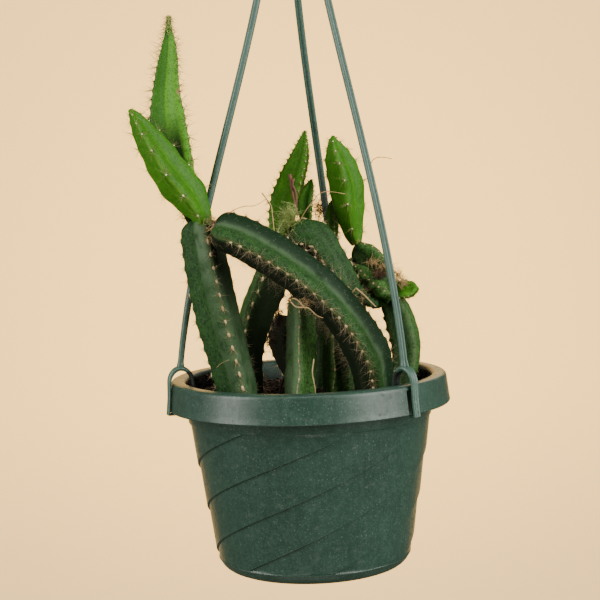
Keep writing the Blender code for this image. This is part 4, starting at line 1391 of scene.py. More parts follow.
STEMS = {
    "old_stem_left": Stem(
        route=((-32.9, -27, 73, 11.0), (-36.0, -27, 97.5, 11.7), (-39.0, -26.5, 112.5, 12.3),
               (-43.3, -26, 131, 13.0), (-47.5, -25.5, 153.5, 13.2), (-50.5, -25, 171.5, 12.4),
               (-51.9, -25, 181.0, 11.7)),
        roll=15, bloom=1.0, bloom_and_sheen_turn=-9, bloom_and_sheen_from=0.9, painted_sheen=0.55, painted_sheen_turn=62,
        brightness=0.12, shade_turn=75, shading=0.8,
        shade_fade=(0.58, 0.82)),
    "old_stem_arching": Stem(
        route=((36, -18, 72, 11.0), (34, -23, 97.5, 11.8), (32, -28.5, 111.1, 13.0),
               (28.6, -32, 119.8, 12.9), (23.3, -35, 129.6, 12.2), (17.0, -38, 138.6, 12.0),
               (10.3, -40, 146.3, 12.4), (-3, -41.5, 158.3, 12.6), (-18, -42, 169.1, 12.6),
               (-31.5, -42, 177.2, 12.4), (-39.2, -42, 180.3, 11.8)),
        roll=-3, twist=-9, areoles=HAIRY, painted_shade_turn=112, shade_turn=-63, shading=0.86, bloom=0.62,
        painted_light_turn=28, lit=0.16, tangled=(0, 2),
        scars=((-46.8, -44.0, 185.0, 2.6),)),
    "old_stem_rear_arch": Stem(
        route=((20, 13, 74, 7.8), (22.5, 11, 98, 8.4), (24.5, 8.5, 116, 8.6),
               (24.3, 4.5, 132.5, 8.8), (20.3, 0, 149, 8.8), (13.4, -1, 164, 9.0),
               (6.8, -1.5, 173.4, 10.0), (0.8, -2.5, 175.6, 9.4), (-2.6, -3, 175.8, 8.6)),
        roll=-25, bloom=0.15, brightness=0.12, shade_turn=-85, shading=0.8, plump=(-60, 0.34)),
    "old_stem_right": Stem(
        route=((46, 5, 74, 7.2), (52.2, 9, 96, 8.4), (54.5, 11, 110.5, 9.3), (53.8, 12, 120, 9.6),
               (51.4, 13, 129.5, 9.5), (48.7, 13.5, 136.2, 8.5)),
        roll=19, bald=(0,), bloom=0.6, brightness=0.5, painted_sheen=0.4, painted_sheen_turn=-35),
    "old_stem_back_left": Stem(
        route=((-28.6, -2, 74, 6.8), (-31.1, 0, 96.5, 7.0), (-31.3, 3, 115.5, 8.3),
               (-27.6, 6, 134, 10.4), (-20.8, 9, 149, 11.2), (-15.8, 12, 162, 10.6),
               (-13.6, 13, 169.5, 8.6)),
        roll=-17, shade_turn=45, shading=0.86, bloom=0.3, brightness=0.25),
    "old_stem_shaded": Stem(
        route=((0, 36, 74, 7.4), (-3, 36, 88.5, 8.0), (-6.2, 36.5, 98.5, 8.0),
               (-10.2, 37, 106.5, 8.2), (-13, 38, 115, 8.2), (-13.6, 38, 122, 7.6),
               (-12.7, 38, 126.5, 6.4)),
        roll=20, shading=1.0, areoles=HAIRY),
    "old_stem_front": Stem(
        route=((-5.5, -26, 74, 8.6), (-5, -24, 96, 9.2), (-4, -22, 107.5, 9.2),
               (-3.5, -19, 120, 9.0), (-3, -17, 130, 8.7), (-2.6, -15.5, 140, 8.2)),
        roll=-5, painted_light_turn=56, lit=1.0, brightness=0.75, corky=(0, 1), margined=(1,), wave=1.5,
        areoles=SPARSE, bloom=0.3, painted_sheen=0.9, painted_sheen_turn=-55, shade_turn=52, shading=0.6,
        shade_fade=(0.74, 0.92),
        scars=((3.7, -27.0, 125.5, 1.8), (0.5, -28.0, 127.0, 1.5), (7.5, -24.0, 108.0, 3.0))),
    "old_stem_middle": Stem(
        route=((4, 18, 74, 7.8), (7, 18, 97, 8.4), (8, 19, 112.5, 8.4), (8.5, 21, 125.5, 8.2),
               (8.5, 22, 133.5, 6.6)),
        roll=30, brightness=0.25, bloom=0.9),
    "old_stem_pale": Stem(
        route=((13.5, -14, 74, 7.2), (14, -13, 96.5, 7.8), (14.5, -11.5, 110, 7.8),
               (14.5, -10, 119.5, 7.4), (14.5, -9, 127, 6.0)),
        roll=-6, areoles=SPARSE, brightness=0.6, shade_turn=55, shading=0.85,
        shade_fade=(0.42, 0.62),
        corky=(0,), wave=2.0),
    "old_stem_knobbly": Stem(
        route=((47.4, 11, 140.8, 8.4), (41.8, 12, 145.3, 12.2), (35.4, 13.5, 150.2, 12.8),
               (30.5, 15, 155.4, 10.0), (27.5, 16, 158, 7.8)),
        roll=0, areoles=KNOBBLY, brightness=0.75, lumps=0.2, bare=2.0, specks=2.6),
    "old_stem_stub": Stem(
        route=((42, 12, 153, 7.0), (38, 11, 159.5, 8.4), (33.2, 10, 164.3, 8.8),
               (30.6, 10, 166, 7.2)),
        roll=40, areoles=KNOBBLY, brightness=0.6, shade_turn=-55, shading=0.6, bare=3.0,
        specks=1.5),
    "young_stem_left_front": Stem(
        route=((-51, -29, 183.2, 4.6), (-52.2, -30, 190, 7.0), (-57.9, -31, 199.8, 11.2),
               (-65.7, -33, 210.4, 11.5), (-72.6, -35, 222.6, 9.7), (-78.9, -36, 233.8, 6.6),
               (-82.6, -37, 241.2, 3.3), (-84.3, -37, 243.5, 1.4)),
        roll=-4, age=Age.YOUNG, areoles=YOUNG, bare=6.0),
    "young_stem_left_rear": Stem(
        route=((-54, -22.5, 181, 3.0), (-57.4, -21, 191, 4.6), (-62.3, -15, 211, 9.7),
               (-66.8, -12, 234, 11.5), (-67.6, -10, 252.5, 8.7), (-66.0, -9, 270, 6.0),
               (-65.3, -8, 281.5, 3.3), (-65.5, -8, 286.5, 1.9), (-65, -8, 292, 1.6)),
        roll=55, age=Age.YOUNG, areoles=EDGED, bare=6.0, painted_light_turn=38, painted_shade_turn=-52,
        painted_shade_strength=0.45, drift=24.0, dry_tip=0.07, shade_turn=-5, shading=1.0, lit=1.1,
        shade_fade=(0.56, 0.42), bloom=0.8,
        scars=((-61.0, -14.6, 253.3, 1.5),)),
    "young_stem_centre": Stem(
        route=((-13.2, 13, 169.5, 3.0), (-11.1, 13, 180, 7.8), (-8.1, 12, 192, 9.7),
               (-3.5, 11, 205.5, 8.9), (0.6, 10, 217, 6.5), (2.4, 9, 225.5, 3.4),
               (3.2, 9, 231, 1.0)),
        roll=24, age=Age.YOUNG, areoles=DENSE, bare=4.0, brightness=0.35),
    "young_stem_centre_small": Stem(
        route=((3, 2, 180, 2.6), (2.4, 4, 188.5, 4.8), (3.2, 6, 196, 5.2), (5, 8, 202, 3.0),
               (5.6, 8, 205, 1.0)),
        roll=28, age=Age.YOUNG, areoles=DENSE, painted_shade_turn=0, painted_shade_strength=0.7, bare=4.0,
        shading=0.5, shade_fade=(0.6, 0.2)),
    "young_stem_right": Stem(
        route=((28.6, 9.8, 169.6, 3.2), (27.6, 9.4, 173.5, 5.2), (26.6, 9, 178, 6.8),
               (25, 7, 189.5, 9.9), (23.6, 5, 203.5, 10.6), (20.2, 3, 216, 8.5), (18, 2, 224, 4.0),
               (17.8, 2, 227.5, 1.2)),
        roll=-3, age=Age.YOUNG, areoles=YOUNG, bare=5.0),
    "young_stem_right_small": Stem(
        route=((15.0, 3.5, 166.5, 2.4), (15.9, 12, 176, 4.2), (16.5, 19, 185, 4.4),
               (16.4, 21, 190.5, 2.6), (16.3, 21.5, 193, 1.0)),
        roll=15, age=Age.YOUNG, areoles=DENSE, painted_shade_turn=0, bare=4.0),
    "young_stem_tip": Stem(
        route=((46, 10, 141.4, 3.0), (52, 8, 143.2, 6.2), (55.5, 7, 144.2, 6.6),
               (57.6, 6, 145.2, 4.8)),
        roll=20, age=Age.YOUNG, areoles=DENSE, brightness=0.4, shading=0.9,
        shade_fade=(0.62, 0.3), bare=4.0),
}


class StemForm:
    """One stem's surface, its areoles and its bristles."""

    def __init__(self, name: str, stem: Stem, seed: int) -> None:
        """Samples the route and finds the axes across it and the areoles along its ribs."""
        self.name = name
        self.stem = stem
        self.growth: Growth = stem.age.value
        self.draw = np.random.default_rng(seed)
        samples, self.runs = even_route(stem.route, ROW_STEP)
        self.centres = samples[:, :3]
        self.radii = samples[:, 3]
        self.tangents = unit(np.gradient(self.centres, axis=0))
        self.fronts = square_to(self.tangents, np.array([0.0, -1.0, 0.0]))
        self.sides = np.cross(self.tangents, self.fronts)
        self.phases = self.draw.uniform(0.0, FULL_TURN, 4)
        self.areole_runs = [self.places_on_rib(rib) for rib in range(RIBS)]

    def places_on_rib(self, rib: int) -> Array:
        """Distances from the base of a rib's areoles, closer together towards the tip."""
        kind = self.stem.areoles
        tip = self.runs[-1] + LAST_AREOLE_SHARE * self.radii[-1]
        place = tip - kind.tip_step * rib / RIBS
        places = [place]
        while place > -kind.step:
            place -= min(kind.step, kind.tip_step + kind.widening * (tip - place))
            places.insert(0, place)
        return np.array(places)

    def reach(self, run: Array, turn: Array) -> Array:
        """Distance from the middle line to the skin, at distances run and angles from rib 0."""
        crest = crest_share(turn)
        radius = np.interp(run, self.runs, self.radii)
        rib = nearest_rib(turn)
        phase = np.zeros(np.broadcast(run, turn).shape)
        for number, places in enumerate(self.areole_runs):
            here = np.interp(run, places, np.arange(len(places)))
            phase = np.where(rib == number, here, phase)
        between = 0.5 - 0.5 * np.cos(FULL_TURN * phase)
        bearing, amount = self.stem.plump
        plump = np.clip(np.cos(turn - math.radians(bearing)) * 2.0 - 0.6, 0, 1)
        valley = self.growth.valley + amount * plump
        share = valley + (1.0 - valley) * crest ** self.growth.sharpness
        share = share * (1.0 - self.stem.areoles.scallop * between * crest ** 6)
        a, b, c, d = self.phases
        wobble = 0.012 * np.sin(run / 5.1 + a + 2 * turn) + 0.010 * np.sin(run / 2.3 + b - turn)
        lumps = np.sin(run / 1.5 + c + np.sin(3 * turn)) * np.sin(4 * turn + d + run / 4.0)
        return radius * share * (1.0 + wobble + self.stem.lumps * lumps)

    def across(self, run: Array, turn: Array) -> tuple[Array, Array, Array]:
        """The middle line's point, the tangent and the outward direction at each place."""
        centre = self.along(run, self.centres)
        tangent = unit(self.along(run, self.tangents))
        front, side = self.along(run, self.fronts), self.along(run, self.sides)
        share = run / self.runs[-1]
        roll = self.stem.roll + self.stem.twist * share
        roll = roll + self.stem.wave * (np.sin(run / 4.2) + np.sin(run / 2.3 + 1.0))
        angle = (np.radians(roll) + turn)[..., None]
        return centre, tangent, unit(front * np.cos(angle) + side * np.sin(angle))

    def along(self, run: Array, rows: Array) -> Array:
        """Values of the stem's rows at distances run."""
        return np.stack([np.interp(run, self.runs, rows[:, k]) for k in range(3)], axis=-1)

    def skin(self) -> bpy.types.Object:
        """The stem's closed skin, with the fields that its material reads."""
        turns = full_turn(COLUMNS)
        rings = self.skin_rings(turns)
        length = self.runs[-1]
        shares = np.concatenate([[0.0], self.runs, np.full(DOME_ROWS, length)]) / length
        return wrap(self.name + "_skin", rings, self.skin_fields(rings, turns, shares))

    def skin_rings(self, turns: Array) -> Array:
        """The skin's points, from the foot's middle up to the closed dome."""
        run, turn = np.meshgrid(self.runs, turns, indexing="ij")
        centre, tangent, outward = self.across(run, turn)
        rows = list(centre + outward * self.reach(run, turn)[..., None])
        last_centre, last_tangent = self.centres[-1], self.tangents[-1]
        last_reach = self.reach(run[-1], turns)
        dome = DOME_SHARE * self.radii[-1]
        for angle in np.linspace(0.0, 0.5 * math.pi, DOME_ROWS + 1)[1:]:
            middle = last_centre + last_tangent * dome * math.sin(angle)
            rows.append(middle + outward[-1] * (last_reach * math.cos(angle))[:, None])
        return np.array([np.repeat(self.centres[:1], COLUMNS, axis=0)] + rows)

    def skin_fields(self, rings: Array, turns: Array, shares: Array) -> dict[str, Array]:
        """The numbers that the skin's material reads.

        Args:
            rings: The skin's points, in rows and columns.
            turns: Angles of the columns from rib 0.
            shares: How far along the stem each row is, from 0 to 1.

        Returns:
            A value for each point, by field name.
        """
        stem = self.stem
        size = rings.shape[:2]
        dry = np.clip((shares - 1.0 + stem.dry_tip) / max(stem.dry_tip, 0.01), 0.0, 1.0)
        margined = np.isin(nearest_rib(turns), stem.margined)
        partly = np.clip(6.0 * (stem.margin_top - shares), 0.0, 1.0)[:, None]
        corky = np.isin(nearest_rib(turns), stem.corky) * np.where(margined, partly, 1.0)
        # Painted light on one flank and painted shade on another.
        painted_light = stem.lit * self.flank(turns, shares, stem.painted_light_turn)
        shaded = stem.shading * self.flank(turns, shares, stem.shade_turn, edge=0.48,
                                           softness=0.12, otherwise=1.0)
        if stem.shade_fade:
            start, end = stem.shade_fade
            shaded = shaded * np.clip((shares - start) / (end - start), 0.0, 1.0)[:, None]
        # Fields for the material: painted shade and painted light on flanks, painted shade over
        # whole stretches, and pale bloom that is partly painted sheen.
        return {
            "crest": np.broadcast_to(crest_share(turns), size),
            "tip": np.broadcast_to(dry[:, None], size) * (stem.dry_tip > 0.0),
            "scar": self.scar(rings),
            "cork": corky,
            "dark": stem.painted_shade_strength * self.flank(turns, shares, stem.painted_shade_turn),
            "painted_light": np.maximum(painted_light, stem.brightness),
            "shaded": shaded,
            "margin": np.broadcast_to(MARGIN_SHARE * margined, size),
            "bloom": self.bloom(turns, shares),
            "specks": np.full(size, stem.specks),
        }

    def bloom(self, turns: Array, shares: Array) -> Array:
        """How much pale bloom each place has, part waxy bloom and part painted sheen: in the valleys
        or a band, and a painted sheen more thinly on one flank.
        """
        stem = self.stem
        valley = np.clip(1.0 - crest_share(turns) / self.growth.bloom_and_sheen_reach, 0.0, 1.0)
        band = np.broadcast_to(soft_ends(valley), (len(shares), len(turns)))
        if stem.bloom_and_sheen_turn is not None:
            band = self.flank(turns, shares, stem.bloom_and_sheen_turn, edge=0.88, softness=0.10)
        band = band * np.clip(1.0 + (shares - stem.bloom_and_sheen_from) * 4.0, 0.42, 1.0)[:, None]
        painted_sheen = stem.painted_sheen * self.flank(turns, shares, stem.painted_sheen_turn, edge=0.35)
        return np.maximum(stem.bloom * band, painted_sheen)

    def flank(self, turns: Array, shares: Array, towards: float | None, edge: float = 0.45,
              softness: float = 0.35, otherwise: float = 0.0) -> Array:
        """How much of a bearing's side each place of the skin lies on.

        Args:
            turns: Angles of the skin's columns from rib 0.
            shares: How far along the stem each row is, from 0 to 1.
            towards: The bearing in degrees, or None for no such side.
            edge: Cosine of the angle from the bearing at which the side ends.
            softness: How much larger the cosine is where the side is full.
            otherwise: The value everywhere if there is no such side.

        Returns:
            Values from 0 to 1, a row for each share.
        """
        if towards is None:
            return np.full((len(shares), len(turns)), otherwise)
        lean = math.radians(self.stem.roll - towards) + turns[None, :]
        lean = lean + np.radians(self.stem.drift * (1.0 - shares))[:, None]
        return soft_ends(np.clip((np.cos(lean) - edge) / softness, 0.0, 1.0))

    def scar(self, rings: Array) -> Array:
        """How scarred the skin is, from its distance to each scar."""
        share = np.zeros(rings.shape[:2])
        for x, y, z, radius in self.stem.scars:
            distance = np.linalg.norm(rings - (x, y, z), axis=-1)
            share = np.maximum(share, np.clip(1.25 - distance / (1.6 * radius), 0.0, 1.0))
        return share

    def areole_frames(self) -> tuple[Array, Array, Array, Array, Array, Array]:
        """Each areole's place, outward, tangent and sideways axis, rib, and share of full size."""
        places, outwards, tangents, ribs, sizes = [], [], [], [], []
        for rib, runs in enumerate(self.areole_runs):
            inside = runs[(runs > self.stem.bare) & (runs < self.runs[-1] + 0.5)]
            if not len(inside) or rib in self.stem.bald:
                continue
            turn = np.full(len(inside), FULL_TURN * rib / RIBS)
            centre, tangent, outward = self.across(inside, turn)
            place = centre + outward * self.reach(inside, turn)[:, None]
            shown = place[:, 2] > SOIL_LEVEL + BARE_FOOT
            places.append(place[shown])
            outwards.append(outward[shown])
            tangents.append(tangent[shown])
            ribs.append(np.full(shown.sum(), rib))
            from_tip = self.runs[-1] - inside[shown]
            sizes.append(np.clip(SMALLEST_AREOLE + from_tip / FULL_AREOLE_RUN, SMALLEST_AREOLE, 1.0))
        place, outward = np.concatenate(places), np.concatenate(outwards)
        tangent, side = np.concatenate(tangents), np.cross(np.concatenate(tangents), outward)
        return place, outward, tangent, side, np.concatenate(ribs), np.concatenate(sizes)

    def pads(self, pattern: Pattern) -> bpy.types.Object:
        """The woolly pads, one to an areole."""
        place, outward, tangent, side, _, size = self.areole_frames()
        count = len(place)
        halves = np.array(self.stem.areoles.pad) * self.draw.uniform(0.75, 1.2, (count, 3))
        halves = halves * size[:, None] ** self.growth.pad_shrinking
        frames = np.stack([tangent * halves[:, :1], side * halves[:, 1:2],
                           outward * halves[:, 2:]], axis=1)
        obj = pattern.copies(self.name + "_areoles", place, frames, self.draw.uniform(0, 1, count))
        return place_piece(obj, self.growth.wool)

    def bristles(self) -> bpy.types.Object:
        """The bristles that spread from every areole and from the crown."""
        kind = self.stem.areoles
        place, outward, tangent, side, rib, size = self.areole_frames()
        tangled = np.isin(rib, self.stem.tangled)
        copies = np.where(tangled, 2 * kind.bristles, kind.bristles)
        index = np.repeat(np.arange(len(place)), copies)
        count = len(index)
        spread = np.radians(self.draw.uniform(*BRISTLE_SPREAD, count))
        turn = self.draw.uniform(0.0, FULL_TURN, count)
        flat = tangent[index] * np.cos(turn)[:, None] + side[index] * np.sin(turn)[:, None]
        heading = outward[index] * np.cos(spread)[:, None] + flat * np.sin(spread)[:, None]
        length = self.draw.uniform(kind.shortest, kind.longest, count) * size[index]
        sag = np.where(tangled[index], TANGLED_SAG, kind.sag) * self.draw.uniform(0.3, 1.2, count)
        fine = np.linspace(0.0, 1.0, BRISTLE_POINTS)
        root = place[index] - outward[index] * BRISTLE_ROOT
        paths = root[:, None] + heading[:, None] * (length[:, None] * fine)[..., None]
        paths[..., 2] -= 0.5 * (sag * length)[:, None] * fine ** 2
        curl = self.draw.normal(0.0, BRISTLE_CURL, (count, 1, 3)) * length[:, None, None]
        paths = paths + curl * (fine * (1.0 - fine))[None, :, None] * 4.0
        radii = kind.thickness * self.draw.uniform(0.6, 1.15, count)
        obj = hairs(self.name + "_bristles", paths, radii, self.draw.uniform(0, 1, count))
        return place_piece(obj, self.growth.bristle)

    def build(self, pattern: Pattern) -> None:
        """Models the stem's skin, areoles and bristles."""
        place_piece(self.skin(), self.growth.skin, self.name)
        self.pads(pattern)
        self.bristles()


# Loose bits

@dataclass(frozen=True)
class Strand:
    """A loose stalk, straw or root that lies on the stems."""

    name: str
    route: tuple
    radius: float
    finish: Finish


@dataclass(frozen=True)
class Tuft:
    """A bunch of curled fibres."""

    name: str
    centre: Point
    spread: Point
    heading: Point
    count: int
    length: float
    curl: float
    thickness: float
    finish: Finish


STRANDS = (
    Strand("dry_stalk", ((-5.8, -1.0, 208.6), (-5.4, -1.0, 205.5), (-5.0, -1.4, 202.5),
                         (-4.4, -2.0, 197.2), (-3.4, -3.0, 192.5), (-2.6, -4.0, 187.0)), 0.95,
           Finish.PINK),
    Strand("dry_stalk_side", ((-3.6, -2.4, 206.4), (-4.4, -2.6, 203.0), (-2.8, -2.6, 198.0),
                              (-3.0, -3.6, 188.0)), 0.6, Finish.PINK),
    Strand("straw_twig", ((-20.5, -12.0, 199.5), (-17.9, -16.0, 195.9), (-15.9, -20.0, 192.8),
                          (-15.2, -26.0, 187.8), (-14.6, -33.0, 180.6)), 0.34, Finish.STRAW),
    Strand("straw_bow", ((-1.8, -4.0, 183.5), (2.6, -6.0, 190.2), (6.4, -7.0, 194.8),
                         (8.6, -7.5, 197.3), (11.8, -7.5, 198.8), (16.5, -7.5, 198.6),
                         (22.8, -6.6, 197.3)), 0.26, Finish.STRAW),
    Strand("root_curl", ((-7.4, -56.0, 146.2), (-5.4, -56.0, 143.8), (-2.8, -56.0, 143.0),
                         (1.2, -56.0, 142.6), (5.2, -55.0, 138.8), (8.4, -54.0, 137.2)), 0.24,
           Finish.STRAW),
    Strand("long_root", ((-6.6, -56.0, 147.9), (-3.6, -56.0, 146.6), (-1.6, -56.0, 143.8),
                         (0.2, -55.5, 142.0)), 0.2, Finish.STRAW),
    Strand("pale_thread", ((-46.6, -40.0, 112.4), (-44.0, -40.5, 114.6), (-39.8, -40.5, 116.4)),
           0.08, Finish.STRAW),
    Strand("thin_root", ((-37.3, -42.0, 190.1), (-33.2, -41.0, 192.4), (-28.7, -38.0, 193.6),
                         (-23.7, -30.0, 193.6), (-18.3, -16.0, 196.4)), 0.2, Finish.ROOT),
    Strand("hair_root", ((36.7, 0.0, 211.9), (38.3, -2.0, 214.5), (40.9, -3.0, 215.7),
                         (44.5, -4.0, 215.5), (48.2, -4.0, 214.6)), 0.22, Finish.ROOT),
    Strand("cork_margin", ((3.2, -27.2, 113.5), (2.8, -28.6, 111.0), (2.3, -29.2, 108.6),
                           (2.2, -29.3, 105.5), (2.9, -29.3, 101.0), (3.3, -28.8, 97.0),
                           (3.3, -28.3, 93.0)), 0.34, Finish.WOOL),
    Strand("withered_flap", ((27.6, 2.5, 146.5), (30.6, 2.0, 142.6), (34.0, 2.0, 139.0),
                             (37.6, 3.5, 137.2)), 3.4, Finish.OLD_SKIN),
    Strand("dark_stick", ((-4.6, -12.0, 110.5), (-7.9, -8.0, 107.5), (-13.8, -3.0, 99.0),
                          (-16.0, 0.0, 91.0)), 0.9, Finish.BARK),
    Strand("flap_straw", ((26.9, -4.0, 147.3), (31.6, -4.0, 143.0), (37.0, -3.5, 137.0)), 0.42,
           Finish.STRAW),
    Strand("flap_straw_side", ((27.2, -4.0, 147.6), (25.0, -4.0, 145.4), (24.2, -4.0, 143.2)), 0.3,
           Finish.STRAW),
)

TUFTS = (
    Tuft("straw_band_left", (36.0, 0.5, 160.6), (4.6, 2.0, 1.2), (0.8, -0.4, -0.2), 60, 4.5, 1.8,
         0.16, Finish.STRAW),
    Tuft("straw_band_middle", (43.0, 0.5, 158.2), (4.0, 2.0, 1.4), (0.8, -0.4, -0.3), 60, 4.5,
         1.8, 0.16, Finish.STRAW),
    Tuft("straw_band_right", (49.0, 1.5, 152.4), (2.4, 2.0, 2.6), (0.5, -0.4, 0.2), 80, 5.0,
         1.2, 0.17, Finish.STRAW),
    Tuft("straw_band_end", (51.6, 1.5, 149.0), (2.2, 2.0, 2.2), (0.4, -0.4, 0.2), 70, 4.5,
         1.2, 0.17, Finish.STRAW),
    Tuft("band_roots", (43.0, 1.5, 157.0), (8.0, 2.0, 2.4), (0.5, -0.6, -0.2), 90, 4.5, 1.8,
         0.13, Finish.ROOT),
    Tuft("arch_roots", (-5.6, 10.0, 141.0), (3.6, 3.0, 5.0), (0.3, -0.3, -0.5), 260, 6.0, 1.4,
         0.26, Finish.BARK),
    Tuft("dry_patch", (39.5, 1.5, 154.5), (4.6, 1.6, 1.8), (0.5, -0.4, -0.2), 120, 3.5, 1.2,
         0.20, Finish.ROOT),
    Tuft("dry_patch_dark", (40.5, 1.5, 153.0), (3.6, 1.6, 1.2), (0.5, -0.4, -0.2), 90, 3.0, 1.2,
         0.20, Finish.BARK),
    Tuft("flap_roots", (29.0, 0.5, 143.0), (3.6, 1.6, 3.6), (0.3, -0.5, -0.4), 80, 5.0, 1.8,
         0.14, Finish.STRAW),
    Tuft("green_tuft", (-7.2, -5.0, 184.5), (5.0, 3.0, 6.5), (0.0, -0.35, 1.0), 300, 9.0, 2.6,
         0.15, Finish.MOSSY),
    Tuft("arch_hair", (0.0, -49.0, 145.5), (7.5, 1.5, 2.6), (0.3, -0.3, -1.0), 60, 6.0, 1.2,
         0.08, Finish.STRAW),
    Tuft("dark_curls", (9.4, 5.0, 188.5), (1.8, 2.0, 6.0), (0.0, -0.2, 1.0), 90, 7.0, 1.8, 0.18,
         Finish.BARK),
    Tuft("brown_curls", (8.4, 4.0, 188.5), (2.2, 2.0, 5.0), (0.0, -0.2, 0.8), 30, 6.0, 2.0, 0.16,
         Finish.ROOT),
    Tuft("dark_roots", (-15.5, 25.0, 130.0), (3.0, 2.5, 6.0), (0.2, -0.3, -0.4), 180, 6.0, 1.6,
         0.22, Finish.BARK),
    Tuft("gap_roots", (-20.0, 25.0, 120.0), (2.4, 2.0, 4.5), (0.1, -0.3, -0.6), 160, 5.0, 1.4,
         0.24, Finish.BARK),
    Tuft("end_roots", (-44.2, -43.0, 187.0), (1.8, 2.0, 2.4), (-0.8, -0.3, 0.2), 50, 4.0, 1.6,
         0.12, Finish.ROOT),
    Tuft("end_straw", (-44.0, -45.0, 181.0), (2.4, 1.6, 5.0), (-0.3, -0.3, -0.6), 36, 7.0, 1.2,
         0.10, Finish.STRAW),
    Tuft("base_wool", (-49.5, -33.5, 186.0), (2.6, 1.8, 2.0), (0.3, -0.6, 0.4), 90, 2.6, 0.8,
         0.14, Finish.MOSSY),
    Tuft("tip_spines", (-65.2, -8.6, 287.0), (1.4, 1.4, 6.0), (0.0, -0.2, 0.5), 150, 2.8, 0.8,
         0.12, Finish.MOSSY),
    Tuft("seat_scales", (28.8, 8.0, 170.5), (2.2, 2.2, 1.4), (0.0, -0.4, 0.8), 60, 3.0, 0.8,
         0.18, Finish.STRAW),
)


@dataclass(frozen=True)
class LooseBits:
    """Stalks, straws, roots and tufts that lie on the plant."""

    strand_step: float = 0.8
    strand_columns: int = 9
    strand_lean: Point = (0.31, -0.94, 0.13)
    fibre_points: int = 9
    knots: int = 3
    knot_depth: float = 0.12
    taper: float = 0.35
    swellings: int = 9
    swelling_depth: float = 0.12
    root_scatter: float = 0.45
    heading_scatter: float = 0.55
    bending: float = 1.4

    def strand(self, strand: Strand) -> bpy.types.Object:
        """Models one strand as a thin tapering tube."""
        line, _ = even_route(strand.route, self.strand_step)
        turns = full_turn(self.strand_columns)
        knots = 1.0 + self.knot_depth * np.sin(self.knots * turns)
        outline = np.stack([np.cos(turns) * knots, np.sin(turns) * knots], axis=1)
        share = np.linspace(0.0, 1.0, len(line))
        swelling = self.swelling_depth * np.sin(self.swellings * share * math.pi)
        scales = strand.radius * (1.0 - self.taper * share + swelling)
        obj = sweep(strand.name, line, np.array(self.strand_lean), outline, scales)
        for field, value in (("shade", 0.5), ("along", 0.2)):
            add_field(obj.data, field, np.full(len(obj.data.vertices), value))
        return place_piece(obj, strand.finish)

    def tuft(self, tuft: Tuft, seed: int) -> bpy.types.Object:
        """Models one tuft of curled fibres."""
        draw = np.random.default_rng(seed)
        each = (tuft.count, 3)
        roots = np.array(tuft.centre) + draw.normal(0.0, self.root_scatter, each) * tuft.spread
        heading = unit(np.array(tuft.heading) + draw.normal(0.0, self.heading_scatter, each))
        length = tuft.length * draw.uniform(0.4, 1.2, tuft.count)
        turn = draw.normal(0.0, tuft.curl, (tuft.count, 1, 3))
        share = np.linspace(0.0, 1.0, self.fibre_points)[None, :, None]
        sideways = np.cross(turn, heading[:, None])
        headings = unit(heading[:, None] + sideways * share * self.bending)
        strides = headings * (length / (self.fibre_points - 1))[:, None, None]
        paths = roots[:, None] + np.cumsum(strides, axis=1) - strides[:, :1]
        radii = tuft.thickness * draw.uniform(0.5, 1.1, tuft.count)
        obj = hairs(tuft.name, paths, radii, draw.uniform(0.0, 1.0, tuft.count))
        return place_piece(obj, tuft.finish)

    def build(self) -> None:
        """Models every strand and tuft."""
        for strand in STRANDS:
            self.strand(strand)
        for seed, tuft in enumerate(TUFTS, start=FIRST_TUFT_SEED):
            self.tuft(tuft, seed)


# Studio

@dataclass(frozen=True)
class Lamp:
    """One soft area light that looks at the plant, with angles in degrees, lengths in metres."""

    name: str
    azimuth: float
    elevation: float
    distance: float
    width: float
    height: float
    power: float
    colour: Colour = (1.0, 0.97, 0.93)


